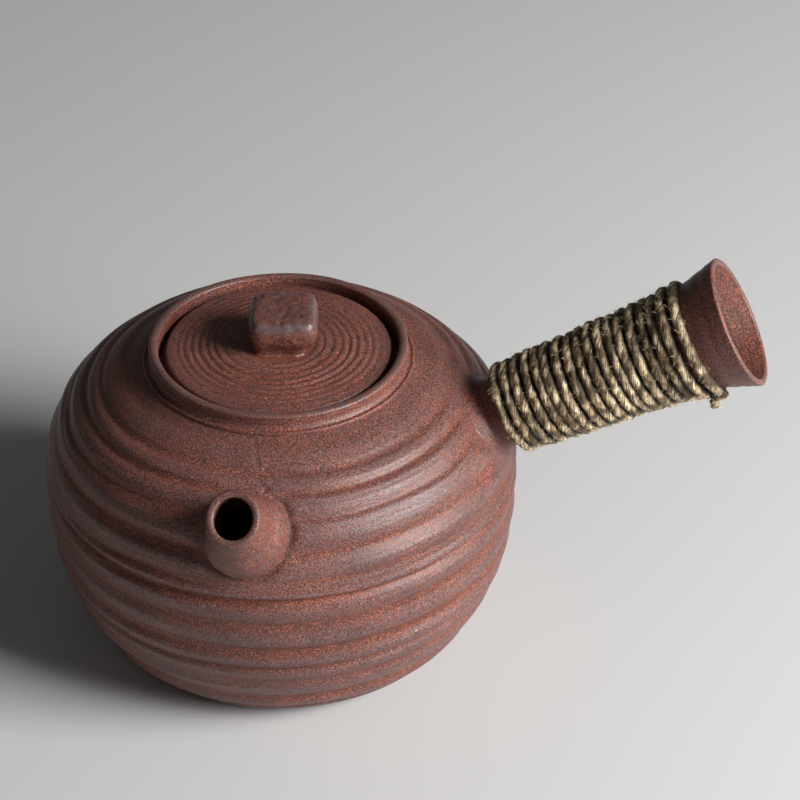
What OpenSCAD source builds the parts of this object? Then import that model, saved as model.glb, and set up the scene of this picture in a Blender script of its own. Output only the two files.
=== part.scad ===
// Side-handle teapot: a round thrown clay pot with a short spout, a hollow side handle
// wound with twine, and a loose lid that sits inside a low collar.
// Millimetres, +Z up. The origin is the middle of the flat foot. The handle points
// along +X and the spout along -Y.

/* [Pot] */
// Diameter at the belly, the widest place
belly_d = 125; // [110:0.5:140]
// Height of the belly above the table
belly_z = 48.7; // [42:0.1:56]
// Height of the shoulder curve above the belly, at the point where it would close
shoulder_rise = 39.2; // [35:0.1:46]
// Diameter of the flat foot
foot_d = 87.6; // [76:0.2:96]
// Fullness of the side curve: 2 is an ellipse, and more is squarer
fullness = 2.41; // [2.2:0.01:2.7]
// Thickness of the wall
wall = 4; // [3:0.1:5]
// Thickness of the floor
floor_t = 4.5; // [3.5:0.1:7]
// Width of the worn edge round the foot
foot_edge = 1.2; // [0.6:0.1:2]

/* [Throwing rings] */
// Mean spacing of the rings, down the wall
ring_pitch = 7.45; // [6:0.05:10]
// Depth of a groove below its crests
ring_depth = 0.8; // [0.2:0.1:1.6]
// How far the hand-made spacing wanders
ring_wander = 1.4; // [0:0.1:1.6]
// Distance from the collar to the first deep groove, down the wall
ring_first = 12.4; // [9:0.1:16]

/* [Mouth] */
// Outer diameter of the collar
collar_d = 68; // [64:0.5:74]
// Thickness of the collar
collar_wall = 2.4; // [2:0.1:3.2]
// Height of the collar above the shoulder
collar_h = 4.6; // [3.5:0.1:7]
// Depth of the lid's ledge below the foot of the collar
ledge_drop = 1.9; // [1:0.1:3]
// Thickness of the ledge
ledge_t = 4; // [3:0.1:5]
// Diameter of the mouth inside the ledge
mouth_d = 51; // [46:0.5:53]

/* [Lid] */
// Gap between the lid's edge and the collar
lid_side_gap = 1.9; // [0.6:0.1:2.4]
// Thickness of the lid at its edge
lid_edge_t = 4.4; // [2.4:0.1:5]
// Rise of the lid from its edge to its middle
lid_rise = 1.8; // [1:0.1:4]
// Number of turning rings on the lid
lid_rings = 9; // [4:1:12]
// Depth of a turning ring on the lid
lid_ring_depth = 0.3; // [0.1:0.05:0.6]
// Gap under the lid on its ledge
lid_seat_gap = 0.15; // [0.1:0.05:0.3]
// Length of the flange under the lid
flange_len = 9; // [6:0.5:14]
// Thickness of the flange
flange_wall = 3; // [2.4:0.1:4]
// Gap between the flange and the mouth
flange_gap = 0.5; // [0.3:0.1:1]

/* [Knob] */
// Width of the knob
knob_w = 18; // [15:0.5:21]
// Height of the knob
knob_h = 10.8; // [8.5:0.1:14]
// Width of the knob's waist, where it meets the lid
knob_waist_w = 13.7; // [11:0.1:14.5]
// Height of the waist
knob_waist_h = 3.2; // [2:0.1:4]
// Rounding of the knob's edges
knob_round = 2.6; // [1.5:0.1:3]
// Turn of the knob about the lid's middle
knob_turn = 6; // [0:1:45]
// Lean of the knob's top to one side
knob_lean = 1.2; // [0:0.1:2]

/* [Spout] */
// Height at which the spout's axis leaves the wall
spout_z = 69; // [60:0.2:72]
// Tilt of the spout above the level
spout_tilt = 46; // [38:1:56]
// Turn of the spout away from the handle, past a quarter turn
spout_turn = 2; // [-4:0.5:4]
// Length of the spout from the wall to its tip
spout_len = 20.5; // [18:0.1:30]
// Outer diameter at the tip
spout_tip_d = 12.4; // [11:0.1:15]
// Outer diameter at the foot of the spout
spout_root_d = 24; // [20:0.5:27]
// Thickness at the tip
spout_tip_wall = 1.2; // [1:0.1:2]
// Thickness at the foot of the spout
spout_root_wall = 2.8; // [2:0.1:3.5]

/* [Strainer] */
// Diameter of the outlet hole through the wall
outlet_d = 13; // [10:0.5:15]
// Inner diameter of the strainer's dome
strainer_bore_d = 18; // [16.5:0.5:22]
// Thickness of the strainer
strainer_wall = 2; // [1.5:0.1:2.6]
// Diameter of a strainer hole
strainer_hole_d = 2; // [1.6:0.1:2.6]

/* [Handle] */
// Height at which the handle's axis leaves the wall
handle_z = 68.6; // [62:0.2:72]
// Tilt of the handle above the level
handle_tilt = 28; // [20:0.5:36]
// Length of the handle from the wall to its rim
handle_len = 70.8; // [66:0.1:90]
// Diameter of the flared root on the wall
root_d = 27; // [24:0.5:29]
// Diameter of the neck, where the twine starts
neck_d = 19.2; // [16:0.2:22]
// Distance from the wall to the neck, along the axis
neck_at = 1.8; // [1.4:0.1:4]
// Thickness of the root's edge where it is highest on the shoulder
root_lip = 1.2; // [1:0.1:2]
// Diameter of the straight taper at its outer end
grip_end_d = 23.2; // [20:0.2:26]
// Length of the flare, from the taper to the rim
flare_len = 21; // [14:0.5:26]
// Diameter of the flared rim
flare_d = 34.8; // [30:0.2:40]
// Thickness of the handle's tube
handle_wall = 3; // [2.4:0.1:4]
// Thickness of the flared rim
rim_wall = 1.9; // [1.4:0.1:2.4]

/* [Twine] */
// Diameter of the twine
twine_d = 2.8; // [2:0.1:2.9]
// Distance from one turn to the next
twine_pitch = 3; // [2.9:0.05:4]
// Gap between the twine and the clay
twine_clear = 0.25; // [0.2:0.05:0.4]
// Place round the handle where the winding ends: 0 is the top, 90 the spout's side
wind_end = 132; // [90:1:180]
// Length of the bare clay between the winding and the rim
bare_len = 12; // [9:0.5:16]
// Length of the loose end between the winding and its knot
tail_len = 4.2; // [3.5:0.1:6]
// Slant of the loose end towards the rim
tail_slant = 8; // [6:1:16]
// Length of the end knot
knot_len = 5; // [4:0.5:8]
// Diameter of the end knot
knot_d = 4.6; // [4:0.1:4.8]

/* [Hidden] */
$fn = 96;
clay_colour = "#6e3b2d";
pale_clay_colour = "#7d4636";
twine_colour = "#a88a58";

// The pot's smooth outline: two quarter curves that meet at the belly.
belly_r = belly_d / 2;
foot_r = foot_d / 2;
collar_r = collar_d / 2;
collar_in_r = collar_r - collar_wall;
mouth_r = mouth_d / 2;
curve_power = 2 / fullness;
seat_angle = acos(pow(collar_r / belly_r, 1 / curve_power));
foot_angle = acos(pow(foot_r / belly_r, 1 / curve_power));
lower_fall = belly_z / pow(sin(foot_angle), curve_power);
outline_steps = 60;
function curve_r(angle) = belly_r * pow(cos(angle), curve_power);
function shoulder_z(angle) = belly_z + shoulder_rise * pow(sin(angle), curve_power);
function under_z(angle) = belly_z - lower_fall * pow(sin(angle), curve_power);
outline = concat(
    [for (i = [outline_steps:-1:0]) let (a = seat_angle * i / outline_steps) [curve_r(a), shoulder_z(a)]],
    [for (i = [1:outline_steps]) let (a = foot_angle * i / outline_steps) [curve_r(a), under_z(a)]]);

// The outline by the distance run along it, from the collar down to the foot.
run = [for (i = 0, far = 0; i < len(outline);
            far = far + (i + 1 < len(outline) ? norm(outline[i + 1] - outline[i]) : 0), i = i + 1) far];
side_run = run[len(run) - 1];
run_r = [for (i = [0:len(run) - 1]) [run[i], outline[i].x]];
run_z = [for (i = [0:len(run) - 1]) [run[i], outline[i].y]];
function on_outline(far) = [lookup(far, run_r), lookup(far, run_z)];
function outline_normal(far) =
    let (reach = 0.6, along = on_outline(far + reach) - on_outline(far - reach))
    [-along.y, along.x] / norm(along);

// Throwing rings: turn counts the grooves, and is whole at the bottom of each one.
ring_steps = 6;
ring_fade = 9;
edge_margin = 1.6;
wander_step = 100;
function ring_run(turn) = ring_first + ring_pitch * turn - ring_wander * (1 - cos(wander_step * turn));
function fade(far) = min(1, far / ring_fade, (side_run - far) / ring_fade);
function ringed(far, turn) =
    on_outline(far) - outline_normal(far) * cos(360 * turn) * ring_depth / 2 * fade(far);
first_step = -3 * ring_steps;
last_step = ceil(1.3 * side_run / ring_pitch) * ring_steps;
seat_z = outline[0].y;
pot_side = concat(
    [[collar_r, seat_z]],
    [for (k = [first_step:last_step])
        let (turn = k / ring_steps, far = ring_run(turn))
        if (far > edge_margin && far < side_run - edge_margin) ringed(far, turn)],
    [[foot_r - foot_edge, 0]]);

// The hollow inside, one wall in from the outline, up to the underside of the ledge.
ledge_z = seat_z - ledge_drop;
ceiling_z = ledge_z - ledge_t;
hollow_step = 3;
hollow_side = [for (far = [side_run:-hollow_step:0]) on_outline(far) - outline_normal(far) * wall];
hollow_r_at = [for (p = hollow_side) [p.y, p.x]];
function hollow_r(z) = lookup(z, hollow_r_at);
floor_round = 3;
hollow = concat(
    [[0, floor_t], [hollow_r(floor_t) - floor_round, floor_t]],
    [for (p = hollow_side) if (p.y > floor_t + floor_round / 2 && p.y < ceiling_z - edge_margin) p],
    [[hollow_r(ceiling_z), ceiling_z], [mouth_r, ceiling_z]]);

// The wall of the upper half: its radius at a height, and how full a place is, with 1 on the wall.
function wall_r(z) = belly_r * pow(1 - pow((z - belly_z) / shoulder_rise, fullness), 1 / fullness);
function fill_at(r, z) = pow(r / belly_r, fullness) + pow((z - belly_z) / shoulder_rise, fullness);

// The lid, its flange and its knob, stacked up from the ledge
lid_z = ledge_z + lid_seat_gap;
lid_r = collar_in_r - lid_side_gap;
lid_edge_z = lid_z + lid_edge_t;
lid_top_z = lid_edge_z + lid_rise;
lid_round = 0.8;
knob_seat_margin = 0.3;
knob_seat_r = knob_waist_w / sqrt(2) + knob_seat_margin;
lid_steps = 6 * lid_rings;
function lid_dome(r) =
    lid_edge_z + lid_rise * (pow(lid_r, 2) - pow(r, 2)) / (pow(lid_r, 2) - pow(knob_seat_r, 2));
function lid_top(part) =
    let (r = lid_r - lid_round - (lid_r - lid_round - knob_seat_r) * part)
    [r, lid_dome(r) - lid_ring_depth / 2 * (1 - cos(360 * lid_rings * part))];
flange_r = mouth_r - flange_gap;
flange_round = 0.8;
knob_draw = 1.6;
knob_plate = 0.2;

// The spout, by the distance along its axis from the wall
spout_flare = 1.3;
spout_steps = 9;
spout_sunk = 10;
tip_round = 0.4;
function spout_r(at) =
    (spout_tip_d + (spout_root_d - spout_tip_d) * pow(min(1, 1 - at / spout_len), spout_flare)) / 2;
function spout_bore_r(at) =
    spout_r(at) - spout_tip_wall - (spout_root_wall - spout_tip_wall) * min(1, 1 - at / spout_len);
spout_stations = concat(
    [for (i = [0:spout_steps - 1]) -spout_sunk + (spout_len + spout_sunk) * i / spout_steps],
    [spout_len - tip_round]);

// Holes of the strainer: one in the middle and rings of 6 and 12 round it
strainer_rings = 2;
strainer_spread = 23;

// The handle, by the distance along its axis from the wall
sunk = 16;
root_r = root_d / 2;
neck_r = neck_d / 2;
grip_end_r = grip_end_d / 2;
grip_end_at = handle_len - flare_len;
function root_fill(at) = fill_at(
    wall_r(handle_z) + at * cos(handle_tilt) - root_r * sin(handle_tilt),
    handle_z + at * sin(handle_tilt) + root_r * cos(handle_tilt));
function leave_wall(low, high, tries) =
    let (middle = (low + high) / 2)
    tries == 0 ? middle
    : root_fill(middle) < 1 ? leave_wall(middle, high, tries - 1) : leave_wall(low, middle, tries - 1);
root_len = neck_at - root_lip - ring_depth / 2 - leave_wall(-sunk, neck_at, 20);
rim_round = 0.6;
flare_steps = 7;
flare_power = 1.15;
function taper_r(at) = neck_r + (grip_end_r - neck_r) * (at - neck_at) / (grip_end_at - neck_at);
function flare_at(part) = grip_end_at + (flare_len - rim_round) * part;
function flare_out_r(part) = grip_end_r + (flare_d / 2 - grip_end_r) * pow(part, flare_power);
function flare_in_r(part) = flare_out_r(part) - handle_wall + (handle_wall - rim_wall) * part;
function clay_r(at) =
    at < grip_end_at ? taper_r(at) : flare_out_r((at - grip_end_at) / (flare_len - rim_round));

// Twine: one helix on the taper and the start of the flare. Each ring is set by its
// point, its outward direction and its direction along the twine.
twine_r = twine_d / 2;
twine_first = neck_at + twine_r;
twine_turns = min(24, floor((handle_len - bare_len - neck_at - twine_d) / twine_pitch));
twine_rings = 24;
twine_sides = 6;
twine_turn_from = wind_end - 360 * twine_turns;
function coil_at(turn) = twine_first + twine_pitch * turn;
function coil_r(turn) = clay_r(coil_at(turn)) + twine_clear + twine_r;
function coil_angle(turn) = twine_turn_from + 360 * turn;
function coil_point(turn) =
    let (angle = coil_angle(turn))
    [coil_r(turn) * cos(angle), coil_r(turn) * sin(angle), coil_at(turn)];
function coil_out(turn) = [cos(coil_angle(turn)), sin(coil_angle(turn)), 0];
function coil_along(turn) =
    let (reach = 0.002, step = coil_point(turn + reach) - coil_point(turn - reach)) step / norm(step);
function twine_ring(centre, out, along) =
    let (aside = cross(along, out) / norm(cross(along, out)), up = cross(aside, along))
    [for (k = [0:twine_sides - 1])
        let (angle = 360 * k / twine_sides) centre + twine_r * (cos(angle) * up + sin(angle) * aside)];
function coil_ring(turn, straight) =
    twine_ring(coil_point(turn) + coil_along(turn) * straight, coil_out(turn), coil_along(turn));
tail_along = [
    -sin(wind_end) * cos(tail_slant),
    cos(wind_end) * cos(tail_slant),
    sin(tail_slant)];
coil_rings = concat(
    [coil_ring(0, -twine_d)],
    [for (k = [0:twine_turns * twine_rings]) coil_ring(k / twine_rings, 0)],
    [for (far = [tail_len - twine_d, tail_len])
        twine_ring(coil_point(twine_turns) + tail_along * far, coil_out(twine_turns), tail_along)]);

// Least distance between a ring's points and those of the next turn
function ring_gap(a, b) = min([for (p = a) min([for (q = b) norm(p - q)])]);
least_gap = min([for (k = [1:len(coil_rings) - twine_rings - 2])
    for (beside = [-1:1]) ring_gap(coil_rings[k], coil_rings[k + twine_rings + beside])]);
echo(least_gap_of_twine = least_gap);  // handle_twine

// Frames of the spout and the handle: +Z runs outwards along the axis, from the wall.
// What belongs to the spout is made straight in front and then turned to its place.
module on_spout() {
    translate([0, -wall_r(spout_z), spout_z]) rotate([90 - spout_tilt, 0, 0]) children();
}

module turn_spout() {
    rotate([0, 0, -spout_turn]) children();
}

module on_handle() {
    translate([wall_r(handle_z), 0, handle_z]) rotate([0, 90 - handle_tilt, 0]) rotate([0, 0, 180]) children();
}

// The whole pot as a solid lump, which trims what is luted to its wall.
module pot_form() {
    rotate_extrude() polygon(concat([[0, seat_z]], pot_side, [[0, 0]]));
}

module pot_body() {
    color(clay_colour)
    difference() {
        rotate_extrude() polygon(concat(
            pot_side,
            [[0, 0]],
            hollow,
            [[mouth_r, ledge_z], [collar_in_r, ledge_z], [collar_in_r, seat_z]]));
        turn_spout() on_spout() translate([0, 0, -sunk]) cylinder(d = outlet_d, h = 2 * sunk);
    }
}

module mouth_collar() {
    color(pale_clay_colour)
    translate([0, 0, seat_z])
    rotate_extrude() polygon(concat(
        [[collar_in_r, 0], [collar_r, 0]],
        [for (a = [0:30:180])
            [collar_r - collar_wall / 2 * (1 - cos(a)), collar_h - collar_wall / 2 * (1 - sin(a))]]));
}

module spout() {
    color(clay_colour)
    turn_spout() difference() {
        on_spout() rotate_extrude() polygon(concat(
            [for (at = spout_stations) [spout_r(at), at]],
            [[spout_tip_d / 2 - tip_round, spout_len], [spout_bore_r(spout_len) + tip_round, spout_len]],
            [for (i = [len(spout_stations) - 1:-1:0]) [spout_bore_r(spout_stations[i]), spout_stations[i]]]));
        pot_form();
    }
}

module strainer() {
    color(clay_colour)
    turn_spout() intersection() {
        on_spout() translate([0, 0, -wall]) difference() {
            sphere(d = strainer_bore_d + 2 * strainer_wall);
            sphere(d = strainer_bore_d);
            for (ring = [0:strainer_rings])
                for (k = [1:max(1, 6 * ring)])
                    rotate([0, 0, 60 * k / max(1, ring)]) rotate([0, 180 - strainer_spread * ring, 0])
                        cylinder(d = strainer_hole_d, h = strainer_bore_d);
        }
        rotate_extrude() polygon(concat(hollow, [[0, ceiling_z]]));
    }
}

module handle() {
    color(clay_colour)
    difference() {
        on_handle() rotate_extrude() polygon(concat(
            [[root_r, -sunk]],
            [for (a = [90:-15:0]) [root_r - (root_r - neck_r) * cos(a), neck_at - root_len * sin(a)]],
            [for (i = [0:flare_steps]) [flare_out_r(i / flare_steps), flare_at(i / flare_steps)]],
            [[flare_d / 2 - rim_round, handle_len], [flare_d / 2 - rim_wall + rim_round, handle_len]],
            [for (i = [flare_steps:-1:0]) [flare_in_r(i / flare_steps), flare_at(i / flare_steps)]],
            [[neck_r - handle_wall, neck_at], [neck_r - handle_wall, -sunk]]));
        pot_form();
    }
}

module handle_twine() {
    last = len(coil_rings) - 1;
    function corner(i, k) = i * twine_sides + k % twine_sides;
    color(twine_colour)
    on_handle() polyhedron(
        points = [for (ring = coil_rings) for (p = ring) p],
        faces = concat(
            [for (k = [1:twine_sides - 2]) [0, k, k + 1]],
            [for (k = [1:twine_sides - 2]) [corner(last, 0), corner(last, k + 1), corner(last, k)]],
            [for (i = [0:last - 1]) for (k = [0:twine_sides - 1])
                [corner(i, k), corner(i + 1, k), corner(i, k + 1)]],
            [for (i = [0:last - 1]) for (k = [0:twine_sides - 1])
                [corner(i, k + 1), corner(i + 1, k), corner(i + 1, k + 1)]]));
}

module twine_knot() {
    swell = knot_d / 2 - twine_r;
    color(twine_colour)
    on_handle() translate(coil_point(twine_turns) + tail_along * tail_len)
    rotate([0, 90 - tail_slant, wind_end + 90])
    rotate_extrude() polygon(concat(
        [[0, 0]],
        [for (a = [0:15:180]) [twine_r + swell * sin(a), knot_len * (1 - cos(a)) / 2]],
        [[0, knot_len]]));
}

module lid() {
    color(clay_colour)
    rotate_extrude() polygon(concat(
        [[0, lid_z], [lid_r - lid_round, lid_z], [lid_r, lid_z + lid_round], [lid_r, lid_edge_z - lid_round]],
        [for (k = [0:lid_steps]) lid_top(k / lid_steps)],
        [[0, lid_top_z]]));
}

module lid_flange() {
    color(clay_colour)
    translate([0, 0, lid_z - flange_len])
    rotate_extrude() polygon([
        [flange_r - flange_wall, flange_len],
        [flange_r - flange_wall, flange_round],
        [flange_r - flange_wall + flange_round, 0],
        [flange_r - flange_round, 0],
        [flange_r, flange_round],
        [flange_r, flange_len]]);
}

module knob_corners(width, height) {
    reach = width / 2 - knob_round;
    for (x = [-reach, reach]) for (y = [-reach, reach]) translate([x, y, height]) sphere(knob_round, $fn = 32);
}

module lid_knob() {
    color(pale_clay_colour)
    translate([0, 0, lid_top_z]) rotate([0, 0, knob_turn]) {
        hull() {
            linear_extrude(knob_plate) square(knob_waist_w, center = true);
            knob_corners(knob_w, knob_waist_h + knob_round);
        }
        hull() {
            knob_corners(knob_w, knob_waist_h + knob_round);
            translate([knob_lean, 0, 0]) knob_corners(knob_w - knob_draw, knob_h - knob_round);
        }
    }
}

pot_body();
mouth_collar();
spout();
strainer();
handle();
handle_twine();
twine_knot();
lid();
lid_flange();
lid_knob();
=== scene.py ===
"""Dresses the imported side-handle teapot: thrown wall, luted spout and handle, wound twine, lid and knob."""
import math

import bmesh
import bpy
import numpy as np
from bpy.props import FloatProperty, FloatVectorProperty, IntProperty, PointerProperty
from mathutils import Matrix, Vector, noise


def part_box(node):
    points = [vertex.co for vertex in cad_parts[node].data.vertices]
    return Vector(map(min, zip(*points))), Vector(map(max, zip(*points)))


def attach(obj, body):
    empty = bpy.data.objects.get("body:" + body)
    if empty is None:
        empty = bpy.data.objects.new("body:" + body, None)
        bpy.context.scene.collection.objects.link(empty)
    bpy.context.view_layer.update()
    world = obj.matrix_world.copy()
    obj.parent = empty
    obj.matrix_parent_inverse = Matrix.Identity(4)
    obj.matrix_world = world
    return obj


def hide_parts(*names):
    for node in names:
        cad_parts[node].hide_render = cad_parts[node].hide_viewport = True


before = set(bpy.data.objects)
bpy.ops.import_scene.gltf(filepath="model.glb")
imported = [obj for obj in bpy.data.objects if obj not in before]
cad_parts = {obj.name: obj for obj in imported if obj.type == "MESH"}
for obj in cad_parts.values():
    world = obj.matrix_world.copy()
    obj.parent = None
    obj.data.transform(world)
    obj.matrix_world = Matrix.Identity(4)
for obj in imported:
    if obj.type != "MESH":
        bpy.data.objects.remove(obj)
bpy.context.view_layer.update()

bl_info = {
    "name": "Side-handle teapot",
    "version": (1, 0, 0),
    "blender": (4, 5, 0),
    "location": "3D View > Sidebar > Teapot",
    "description": "Builds the finished surfaces of a thrown clay teapot with a twine-wound side handle",
    "category": "Add Mesh",
}

MM = 0.001
TURN = 2 * math.pi

# How far the edge of a luted piece lies inside the wall
SINK = 0.8 * MM
# Middle of the side on which the spout's bell is trimmed, round its axis from the top
TRIMMED_SIDE = math.radians(40)
# Line along which the wall was wiped: directions in degrees, and millimetres down from the collar
WIPE_LINE = ((-92.3, 3.4), (-89.9, 10.3), (-87.1, 18.3))
# Pits, placed likewise, each with its radius and depth in millimetres
PITS = (
    (-87.5, 11.6, 0.9, 0.4), (-86.9, 17.0, 0.8, 0.45), (-85.1, 19.5, 0.9, 0.45), (-109.4, 0.6, 0.8, 0.4),
    (-80.1, 26.7, 1.1, 0.35), (-82.4, 33.7, 1.0, 0.3),
)
# The collar's section: millimetres out from its inside, and up from its foot or from its lip
COLLAR_FOOT_IN = ((0, -0.3), (0, 1.5))
COLLAR_LIP = ((0, -1.0), (0.2, -0.35), (0.8, -0.03), (1.6, 0), (2.2, -0.3), (2.4, -0.85), (2.3, -1.6))
COLLAR_FOOT_OUT = (
    (2.2, 1.7), (2.4, 0.9), (2.8, 0.36), (3.2, 0.26), (3.5, 0.4), (3.85, 0.36), (4.05, 0.08), (4.05, -0.5),
    (3.8, -1.2), (3.3, -1.6), (1.6, -1.2), (0, -0.3),
)
# The spout's outside: millimetres along its axis, and out from the root's radius or from the tip's
SPOUT_BELL = (
    (-12, 0.5), (-5, 0.3), (0, 0), (2.6, -0.35), (4.8, -1.1), (6.6, -2.2), (7.8, -2.95), (8.6, -3.2),
)
SPOUT_NOZZLE = ((9.8, 1.4), (13, 0.95), (17, 0.3))
# The knob's section, as shares of its half width and of its height
KNOB_SECTION = (
    (0, -0.06), (0.75, -0.06), (0.75, 0.02), (0.755, 0.09), (0.79, 0.18), (0.87, 0.28), (0.95, 0.39),
    (0.995, 0.52), (0.99, 0.66), (0.97, 0.78), (0.925, 0.885), (0.83, 0.96), (0.6, 0.995), (0.3, 1.0),
    (0, 1.0),
)
# How much fuller the laid twine is than its nominal diameter
LAID_SWELL = 1.05
# Points that the camera and the lamps look at
CAMERA_TARGET = Vector((30.91, 11.56, 63.4)) * MM
LAMP_TARGET = Vector((10, 0, 50)) * MM


# Properties


def number(name, default, description, **options):
    """A number that a user may change."""
    return FloatProperty(name=name, description=description, default=default, **options)


def length(name, default_mm, description):
    """A length. Its default is given in millimetres."""
    return number(name, default_mm * MM, description, precision=5, subtype="DISTANCE", unit="LENGTH")


def angle(name, default_deg, description):
    """An angle. Its default is given in degrees."""
    return number(name, math.radians(default_deg), description, subtype="ANGLE", unit="ROTATION")


def whole(name, default, description, least=1):
    """A whole number."""
    return IntProperty(name=name, description=description, default=default, min=least)


def colour(name, red, green, blue, description):
    """A linear colour."""
    return FloatVectorProperty(name=name, description=description, default=(red, green, blue, 1), size=4,
                               min=0, max=1, subtype="COLOR")


class PotSizes(bpy.types.PropertyGroup):
    """Sizes of the thrown pot and its collar."""
    belly_d: length("Belly diameter", 125, "Diameter at the widest place")
    belly_z: length("Belly height", 48.7, "Height of the belly above the table")
    shoulder_rise: length("Shoulder rise", 39.2,
                          "Height of the shoulder curve above the belly, where it would close")
    foot_d: length("Foot diameter", 87.6, "Diameter of the flat foot")
    fullness: number("Fullness", 2.41, "Squareness of the side curve: 2 is an ellipse")
    wall: length("Wall", 4, "Thickness of the wall")
    floor_t: length("Floor", 4.5, "Thickness of the floor")
    foot_edge: length("Foot edge", 1.2, "Width of the worn edge round the foot")
    collar_wall: length("Collar wall", 2.4, "Thickness of the collar")
    mouth_d: length("Mouth diameter", 51, "Diameter of the mouth inside the ledge")
    ledge_drop: length("Ledge drop", 1.9, "Depth of the lid's ledge below the foot of the collar")
    ledge_t: length("Ledge thickness", 4, "Thickness of the ledge")
    ring_pitch: length("Ring pitch", 7.45, "Mean spacing of the throwing rings, down the wall")
    ring_wander: length("Ring wander", 1.4, "How far the spacing of the rings wanders")
    ring_first: length("First ring", 12.4, "Distance from the collar to the first deep groove, down the wall")
    ring_depth: length("Ring depth", 1.05, "Depth of a groove below its crests")
    fine_depth: length("Fine line depth", 0.42,
                       "Depth of the fine lines that fingers leave between the grooves")
    outlet_d: length("Outlet diameter", 13, "Diameter of the hole through the wall behind the spout")


class SpoutSizes(bpy.types.PropertyGroup):
    """Sizes of the spout."""
    height: length("Height", 69, "Height at which the axis leaves the wall")
    tilt: angle("Tilt", 46, "Tilt of the axis above the level")
    heading: angle("Heading", -92, "Direction of the axis seen from above: 0 is the handle's")
    reach: length("Length", 20.5, "Length from the wall to the tip, along the axis")
    root_d: length("Root diameter", 22.8, "Diameter of the bell on the wall")
    tip_d: length("Tip diameter", 13.8, "Mean diameter of the lip")
    tip_wall: length("Tip wall", 1.65, "Thickness of the lip")
    root_wall: length("Root wall", 2.8, "Thickness at the foot of the spout")


class HandleSizes(bpy.types.PropertyGroup):
    """Sizes of the hollow side handle."""
    height: length("Height", 68.6, "Height at which the axis leaves the wall")
    tilt: angle("Tilt", 28, "Tilt of the axis above the level")
    heading: angle("Heading", 0, "Direction of the axis seen from above")
    reach: length("Length", 70.8, "Length from the wall to the rim, along the axis")
    root_d: length("Root diameter", 27, "Diameter of the flared root on the wall")
    neck_d: length("Neck diameter", 19.2, "Diameter where the twine starts")
    neck_at: length("Neck place", 1.8, "Distance from the wall to the neck, along the axis")
    grip_end_d: length("Grip end diameter", 23.2, "Diameter of the taper at its outer end")
    flare_len: length("Flare length", 21, "Length of the flare, from the taper to the rim")
    flare_d: length("Flare diameter", 34.8, "Diameter of the flared rim")
    flare_power: number("Flare curve", 1.15, "1 is a straight flare, and more is a hollow one")
    wall: length("Wall", 3, "Thickness of the tube")
    rim_wall: length("Rim wall", 1.9, "Thickness of the flared rim")
    rim_round: length("Rim rounding", 0.6, "Height of the rounded edge of the rim")


class TwineSizes(bpy.types.PropertyGroup):
    """Sizes of the wound twine."""
    diameter: length("Diameter", 2.8, "Diameter of the twine")
    pitch: length("Pitch", 3.1, "Distance from one turn to the next")
    turns: whole("Turns", 18, "Number of turns round the grip")
    wind_end: angle("Winding end", 132, "Place round the handle where the winding ends: 0 is the top")
    last_slip: length("Last turn's slip", 0.6, "How far the last turn lies from the one before it at the top")
    lay: length("Lay", 15, "Length in which a yarn goes once round the twine")
    yarns: whole("Yarns", 3, "Number of yarns laid into the twine", least=2)
    tail_len: length("Tail length", 1.6, "Length of the loose end between the winding and its knot")
    tail_slant: angle("Tail slant", -18, "Slant of the loose end towards the rim")
    knot_len: length("Knot length", 4.4, "Length of the end knot")
    hair_len: length("Hair length", 1.5, "Length of a loose fibre")


class LidSizes(bpy.types.PropertyGroup):
    """Sizes of the lid and its knob."""
    edge_t: length("Edge", 4.4, "Thickness of the lid at its edge")
    rings: whole("Rings", 10, "Number of turning rings on the lid")
    ring_depth: length("Ring depth", 0.32, "Depth of a turning ring")
    knob_w: length("Knob width", 18, "Width of the knob")
    knob_turn: angle("Knob turn", 6, "Turn of the knob about the lid's middle")
    knob_lean: length("Knob lean", 1.5, "Lean of the knob's top towards the handle")


class Finishes(bpy.types.PropertyGroup):
    """Colours of the clay and the twine."""
    body: colour("Body clay", 0.082, 0.031, 0.025, "Dark red-brown fired body")
    ember: colour("Ember grains", 0.4, 0.112, 0.06, "Orange-red grains in the body")
    # Grey bloom; on the crests it is partly a painted sheen, laid on by the crest mark.
    ash: colour("Ash bloom", 0.235, 0.172, 0.176, "Grey bloom that the fire has left on the crests")
    rubbed: colour("Rubbed clay", 0.115, 0.088, 0.09, "Clay that hands have rubbed dark grey")
    # This colour is also the painted shade in the crevices and between the turns.
    jute_dark_and_shade: colour("Dark jute", 0.035, 0.02, 0.008, "Jute in the crevices and the darker fibres")
    jute: colour("Jute", 0.28, 0.168, 0.062, "Middle colour of the twine")
    jute_pale: colour("Pale jute", 0.95, 0.78, 0.5, "Bleached fibres on the outside of the turns")


class StageSizes(bpy.types.PropertyGroup):
    """Camera, floor and light."""
    azimuth: angle("Camera azimuth", 5.2, "Turn of the camera from the spout's side towards the handle")
    elevation: angle("Camera elevation", 35.13, "Height of the camera above the horizon")
    distance: length("Camera distance", 807, "Distance from the camera to the point that it looks at")
    lens: number("Lens", 135, "Focal length of the camera in millimetres")
    key_power: number("Key light", 27, "Power of the main lamp", unit="POWER")
    key_azimuth: angle("Key azimuth", 70,
                       "Direction of the main lamp, from the spout's side towards the handle")
    key_elevation: angle("Key elevation", 28, "Height of the main lamp above the horizon")
    fill_power: number("Fill light", 0.2, "Power of the fill lamp", unit="POWER")
    sky: number("Sky", 0.07, "Strength of the even light all round", subtype="FACTOR", soft_min=0, soft_max=1)
    floor: colour("Floor", 0.62, 0.62, 0.615, "Pale floor")


# Node helpers


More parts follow.
